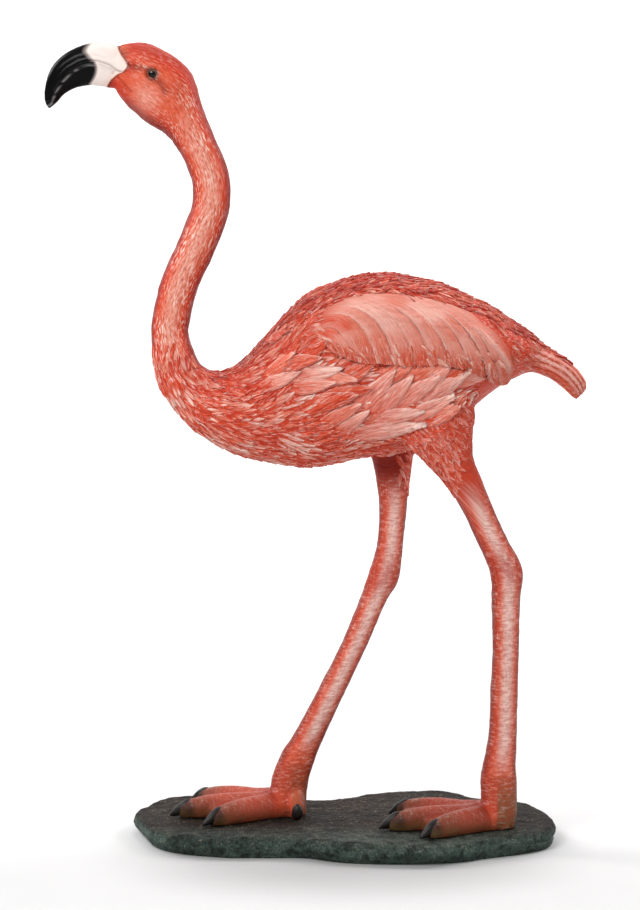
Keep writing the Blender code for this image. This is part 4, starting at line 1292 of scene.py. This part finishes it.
THIGH_TONES = [("#B82D14", "#D4553A"), ("#C23C20", "#DE745E"), ("#AE2611", "#D65E43"), ("#BE371B", "#E5978A")]
TAIL_TONES = [("#B53922", "#D57358"), ("#B53922", "#CC6549"), ("#AD2E1B", "#C2553C")]
FRINGE_TONES = [("#D9735A", "#C54226"), ("#DD8871", "#CC5134"), ("#E0947F", "#E3A08E"),
                ("#D9735A", "#D05A3E")]
THIGH_ROWS = [(56 + 0.25 * (530 - level), level, 152 - 0.1 * (530 - level), level + 8, 20, -52)
              for level in range(550, 436, -6)]
RUMP_ROWS = [(222, 652, 205, 612, 6, -34), (238, 640, 224, 596, 6, -36)]
FRINGE_ROWS = [(-42, 664, -26, 634, 5, -40), (-28, 640, 20, 624, 7, -52), (20, 624, 200, 612, 20, -58),
               (60, 636, 190, 624, 9, -60)]
COLLAR_ROWS = [(-46, 668, -20, 692, 7, 30), (-52, 644, -42, 672, 7, 14), (-44, 630, -28, 640, 6, -16),
               (-24, 692, 20, 704, 7, 18), (20, 704, 70, 706, 7, 0), (70, 706, 124, 696, 8, -8),
               (124, 696, 166, 680, 7, -20), (166, 680, 200, 656, 6, -36)]
lay("thigh_tufts", small_leaf, strewn(THIGH_ROWS, 3.5, 18, 1.9, THIGH_TONES, 0.12, 51, 22), 52, soft=0.7)
lay("rump_tufts", small_leaf, strewn(RUMP_ROWS, 4.4, 26, 1.4, TAIL_TONES, 0.25, 53, 6), 54)

bodies = bmesh.new()
for name in ("body", "left_wing", "right_wing"):
    bodies.from_mesh(bpy.data.objects[name].data)
casting_skin = skin
skin = BVHTree.FromBMesh(bodies)
lay("wing_fringe", small_leaf, strewn(FRINGE_ROWS, 4.6, 24, 2.0, FRINGE_TONES, 0.45, 55, 14), 56)
lay("wing_collar", small_leaf, strewn(COLLAR_ROWS, 4.4, 25, 2.2, SHOULDER_TONES, 0.25, 57, 14), 58)
skin = casting_skin

# Claws and eyes
# The claws are cast with the toes and painted glossy black; the eyes are small resin
# domes set into the head, dark brown with a lighter ring and a clear gloss over them.
# Black enamel gives the claws a hard dull shine over the fine grit of the mould.
claw_paint, tree, shader = new_material("gloss black enamel on claws")
grit = add_node(tree, "ShaderNodeTexNoise", {"Vector": add_node(tree, "ShaderNodeTexCoord").outputs["Object"],
                                            "Scale": 260.0, "Detail": 3.0})
shade = add_node(tree, "ShaderNodeValToRGB", {"Fac": grit.outputs["Fac"]})
set_ramp(shade, [(0.35, "#0B0A0A"), (0.65, "#231C19")])
tree.links.new(shade.outputs["Color"], shader.inputs["Base Color"])
bump = add_node(tree, "ShaderNodeBump", {"Height": grit.outputs["Fac"], "Strength": 0.4, "Distance": 0.0006})
tree.links.new(bump.outputs["Normal"], shader.inputs["Normal"])
shader.inputs["Roughness"].default_value = 0.46
shader.inputs["Specular IOR Level"].default_value = 0.3


def placed(piece, paint):
    """Smooths and paints a piece of the figure and hangs it under the root body."""
    pick(piece)
    piece.data.materials.append(paint)
    piece.data.shade_smooth()
    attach(piece, "root")
    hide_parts("flamingo")
    return piece


HIND_CLAW_HEIGHT = 10.5
HIND_CLAW_RADII = (7.5, 6.4, 10.2)
claws = []
tip = CLAW_HALF_WIDTH
for leg, toes, side in FEET:
    ankle = np.array((leg[-1][0], side * FOOT_SPREAD, 0), float)
    for degrees, reach in toes:
        claw = [(reach - 9, tip * 0.9, 6, TOE_HEIGHT - 6.5), (reach - 3, tip * 1.35, 2, TOE_HEIGHT - 7.5),
                (reach + 0.3 * CLAW_LENGTH, tip * 1.2, 1, TOE_HEIGHT - 12.5),
                (reach + 0.65 * CLAW_LENGTH, tip * 0.8, 0.6, TOE_HEIGHT - 19),
                (reach + 0.97 * CLAW_LENGTH, tip * 0.3, 0.4, 4.0)]
        claws.append(tube("claw", toe_rings(ankle, math.radians(degrees), claw)))
    bpy.ops.object.select_all(action="DESELECT")
    bpy.ops.mesh.primitive_uv_sphere_add(segments=32, ring_count=20, radius=1)
    oval = bpy.context.object
    turn_in = math.radians(-side * HIND_TOE_TURN)
    centre = ankle + np.array((HIND_TOE_BACK - math.cos(turn_in) * HIND_TOE_REACH,
                               math.sin(turn_in) * HIND_TOE_REACH, HIND_CLAW_HEIGHT))
    ball = places(oval)
    taper = np.stack([1 - 0.22 * ball[:, 2], np.ones(len(ball)), np.ones(len(ball))], axis=1)
    set_places(oval, to_world(centre + ball * HIND_CLAW_RADII * taper))
    claws.append(oval)
placed(join(claws, "claws"), claw_paint)

# Clear gloss over a brown ring and a near-black middle gives the eye its bright points.
eye_paint, tree, shader = new_material("painted eye under clear gloss")
ring = add_node(tree, "ShaderNodeAttribute", attribute_name="iris")
iris = add_node(tree, "ShaderNodeValToRGB", {"Fac": ring.outputs["Fac"]})
set_ramp(iris, [(0.0, "#0D0908"), (0.55, "#120B09"), (0.68, "#4A3226"),
                (0.82, "#7A5F50"), (0.93, "#2A1712")])
tree.links.new(iris.outputs["Color"], shader.inputs["Base Color"])
shader.inputs["Roughness"].default_value = 0.14
shader.inputs["Specular IOR Level"].default_value = 0.3
EYE_RADIUS = 7.2
EYE_DEPTH = 5.2
for side in (-1, 1):
    seat, normal = side_place(*EYE_PLACE, side)
    bpy.ops.object.select_all(action="DESELECT")
    bpy.ops.mesh.primitive_uv_sphere_add(segments=40, ring_count=24, radius=1)
    eye = bpy.context.object
    eye.name = "left_eye" if side < 0 else "right_eye"
    ball = places(eye)
    outward = (normal * 0.5 + Vector((0, side, 0)) * 0.5).normalized()
    upward = (Vector((0, 0, 1)) - outward * outward.z).normalized()
    ahead = upward.cross(outward)
    basis = np.array([list(ahead), list(upward), list(outward)])
    centre = np.array(seat) - np.array(outward) * 2.2 * UNIT
    set_places(eye, centre + (ball * (EYE_RADIUS, 0.92 * EYE_RADIUS, EYE_DEPTH)) @ basis * UNIT)
    give_points(eye, "iris", "FLOAT", np.hypot(ball[:, 0], ball[:, 1]))
    placed(eye, eye_paint)

# Slab
# A flat piece of cast rock with a soft uneven edge, painted grey-green round the edge and
# towards the front and dusted brown on top, with pale grit rubbed over the high points.
BASE_THICKNESS = 0.030
BASE_EDGE_ROUNDING = 0.009
BASE_LENGTH = 0.566
BASE_DEPTH = 0.300
BASE_OUTLINE = [(-1.00, 0.14), (-0.97, 0.42), (-0.88, 0.68), (-0.76, 0.81), (-0.59, 0.82),
                (-0.39, 0.75), (-0.17, 0.68), (0.00, 0.74), (0.15, 0.89), (0.29, 0.98),
                (0.43, 1.00), (0.56, 0.90), (0.68, 0.72), (0.80, 0.63), (0.90, 0.54),
                (0.97, 0.30), (1.00, -0.08), (0.97, -0.40), (0.86, -0.60), (0.65, -0.76),
                (0.51, -0.92), (0.36, -1.00), (0.12, -0.95), (-0.08, -0.88), (-0.22, -0.76),
                (-0.40, -0.71), (-0.60, -0.73), (-0.80, -0.60), (-0.92, -0.32)]
OUTLINE_STEPS = 20
closed = BASE_OUTLINE[-1:] + BASE_OUTLINE + BASE_OUTLINE[:2]
outline = smooth_run(closed, OUTLINE_STEPS)[OUTLINE_STEPS:-2 * OUTLINE_STEPS]
edge_profile = smooth_run([(1.7, 0.0), (0.75, 0.16), (0.1, 0.42), (0.0, 0.66), (0.35, 0.9), (1.0, 1.0)], 5)
around = np.arange(len(outline)) * 4 / OUTLINE_STEPS
wave = 1 + 0.35 * np.sin(around * 0.55) + 0.25 * np.sin(around * 0.23 + 1)
edge = outline * (BASE_LENGTH / 2, BASE_DEPTH / 2)
reach = np.linalg.norm(edge, axis=1)
rings = []
for inset, height in edge_profile:
    pulled = edge * (1 - inset * BASE_EDGE_ROUNDING * wave / reach)[:, None]
    rings.append(np.hstack([pulled, np.full((len(edge), 1), height * BASE_THICKNESS)]))
inner = rings[-1]
for share in np.linspace(0.975, 0.02, 46):
    rings.append(inner * (share, share, 1))
low = rings[0]
for share in (0.9, 0.5, 0.1):
    rings.insert(0, low * (share, share, 1))
slab = tube("slab", [(ring - np.array(FIGURE)) / UNIT for ring in rings])
ground = places(slab)
out = normals(slab)
mm = ground * 1000
rough = (1.5 * smooth_noise(mm, 61, (16, 16, 9)) + 0.9 * smooth_noise(mm, 62, (5, 5, 4))
         + 0.45 * smooth_noise(mm, 63, (2.6, 2.6, 2.6)))
top_part = ramp(ground[:, 2], 0.6 * BASE_THICKNESS, 0.98 * BASE_THICKNESS)
low_part = ramp(ground[:, 2], 0.0, 0.006)
push = (rough - 1.8) * low_part * (1 - 0.35 * top_part)
fold_height = 0.0145 + 0.002 * np.sin(ground[:, 1] * 40)
push -= 4.5 * np.exp(-((ground[:, 2] - fold_height) / 0.0026) ** 2) * ramp(ground[:, 0], 0.22, 0.262)
shift = out * (push * UNIT)[:, None]
set_places(slab, ground + shift)
moved = places(slab)
inside = moved[:, 2] > BASE_THICKNESS
moved[:, 2] = np.where(inside, BASE_THICKNESS, np.maximum(moved[:, 2], 0))
set_places(slab, moved)

# Matt stone paint has almost no sheen: clouds of tone about 60 mm wide, pits of 12 mm and
# grains of 2.5 mm, which are drawn coarser than real grit so that they show.
slab_paint, tree, shader = new_material("stone-effect matt acrylic on cast resin")
place_in = add_node(tree, "ShaderNodeTexCoord").outputs["Object"]
broad, grains, pits = [
    add_node(tree, "ShaderNodeTexNoise", {
        "Vector": place_in, "Scale": scale, "Detail": detail, "Roughness": roughness}).outputs["Fac"]
    for scale, detail, roughness in ((16.0, 4.0, 0.6), (400.0, 3.0, 0.7), (80.0, 5.0, 0.65))]
clouds = levels(tree, broad, [(0.35, 0.0), (0.65, 1.0)])
slab_axes = add_node(tree, "ShaderNodeSeparateXYZ", {0: place_in})
on_top = add_node(tree, "ShaderNodeMapRange", {
    "Value": slab_axes.outputs["Z"], "From Min": 0.020, "From Max": 0.0285})
stone = mixed(tree, clouds, "#36443E", "#4E6058")
brown = mixed(tree, clouds, "#140F0B", "#291C14")
front = add_node(tree, "ShaderNodeMapRange", {
    "Value": slab_axes.outputs["Y"], "From Min": -0.045, "From Max": -0.11, "To Min": 0.0, "To Max": 0.8})
dusted = mixed(tree, clouds, "#35403B", "#515C54")
brown = mixed(tree, front.outputs[0], brown, dusted)
stone = mixed(tree, on_top.outputs[0], stone, brown)
dark_grains = levels(tree, grains, [(0.36, 1.0), (0.48, 0.0)])
stone = mixed(tree, sum_of(tree, "MULTIPLY", dark_grains, 0.6), stone, "#141615")
dark_pits = levels(tree, pits, [(0.38, 1.0), (0.52, 0.0)])
stone = mixed(tree, sum_of(tree, "MULTIPLY", dark_pits, 0.68), stone, "#0C0A09")
rubbed = sum_of(tree, "MULTIPLY", levels(tree, pits, [(0.50, 0.0), (0.60, 1.0)]), 0.6)
grit_mask = levels(tree, grains, [(0.56, 0.0), (0.66, 1.0)])
pale_grit = sum_of(tree, "MULTIPLY", grit_mask, sum_of(tree, "ADD", rubbed, 0.18))
stone = mixed(tree, pale_grit, stone, "#948573")
tree.links.new(stone, shader.inputs["Base Color"])
pitted = sum_of(tree, "ADD", grains, sum_of(tree, "MULTIPLY", pits, 3.0))
bump = add_node(tree, "ShaderNodeBump", {"Height": pitted, "Strength": 1.0, "Distance": 0.0016})
tree.links.new(bump.outputs["Normal"], shader.inputs["Normal"])
shader.inputs["Roughness"].default_value = 0.70
shader.inputs["Specular IOR Level"].default_value = 0.14
slab.data.materials.append(slab_paint)
slab.data.shade_smooth()
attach(slab, "root")
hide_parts("base")
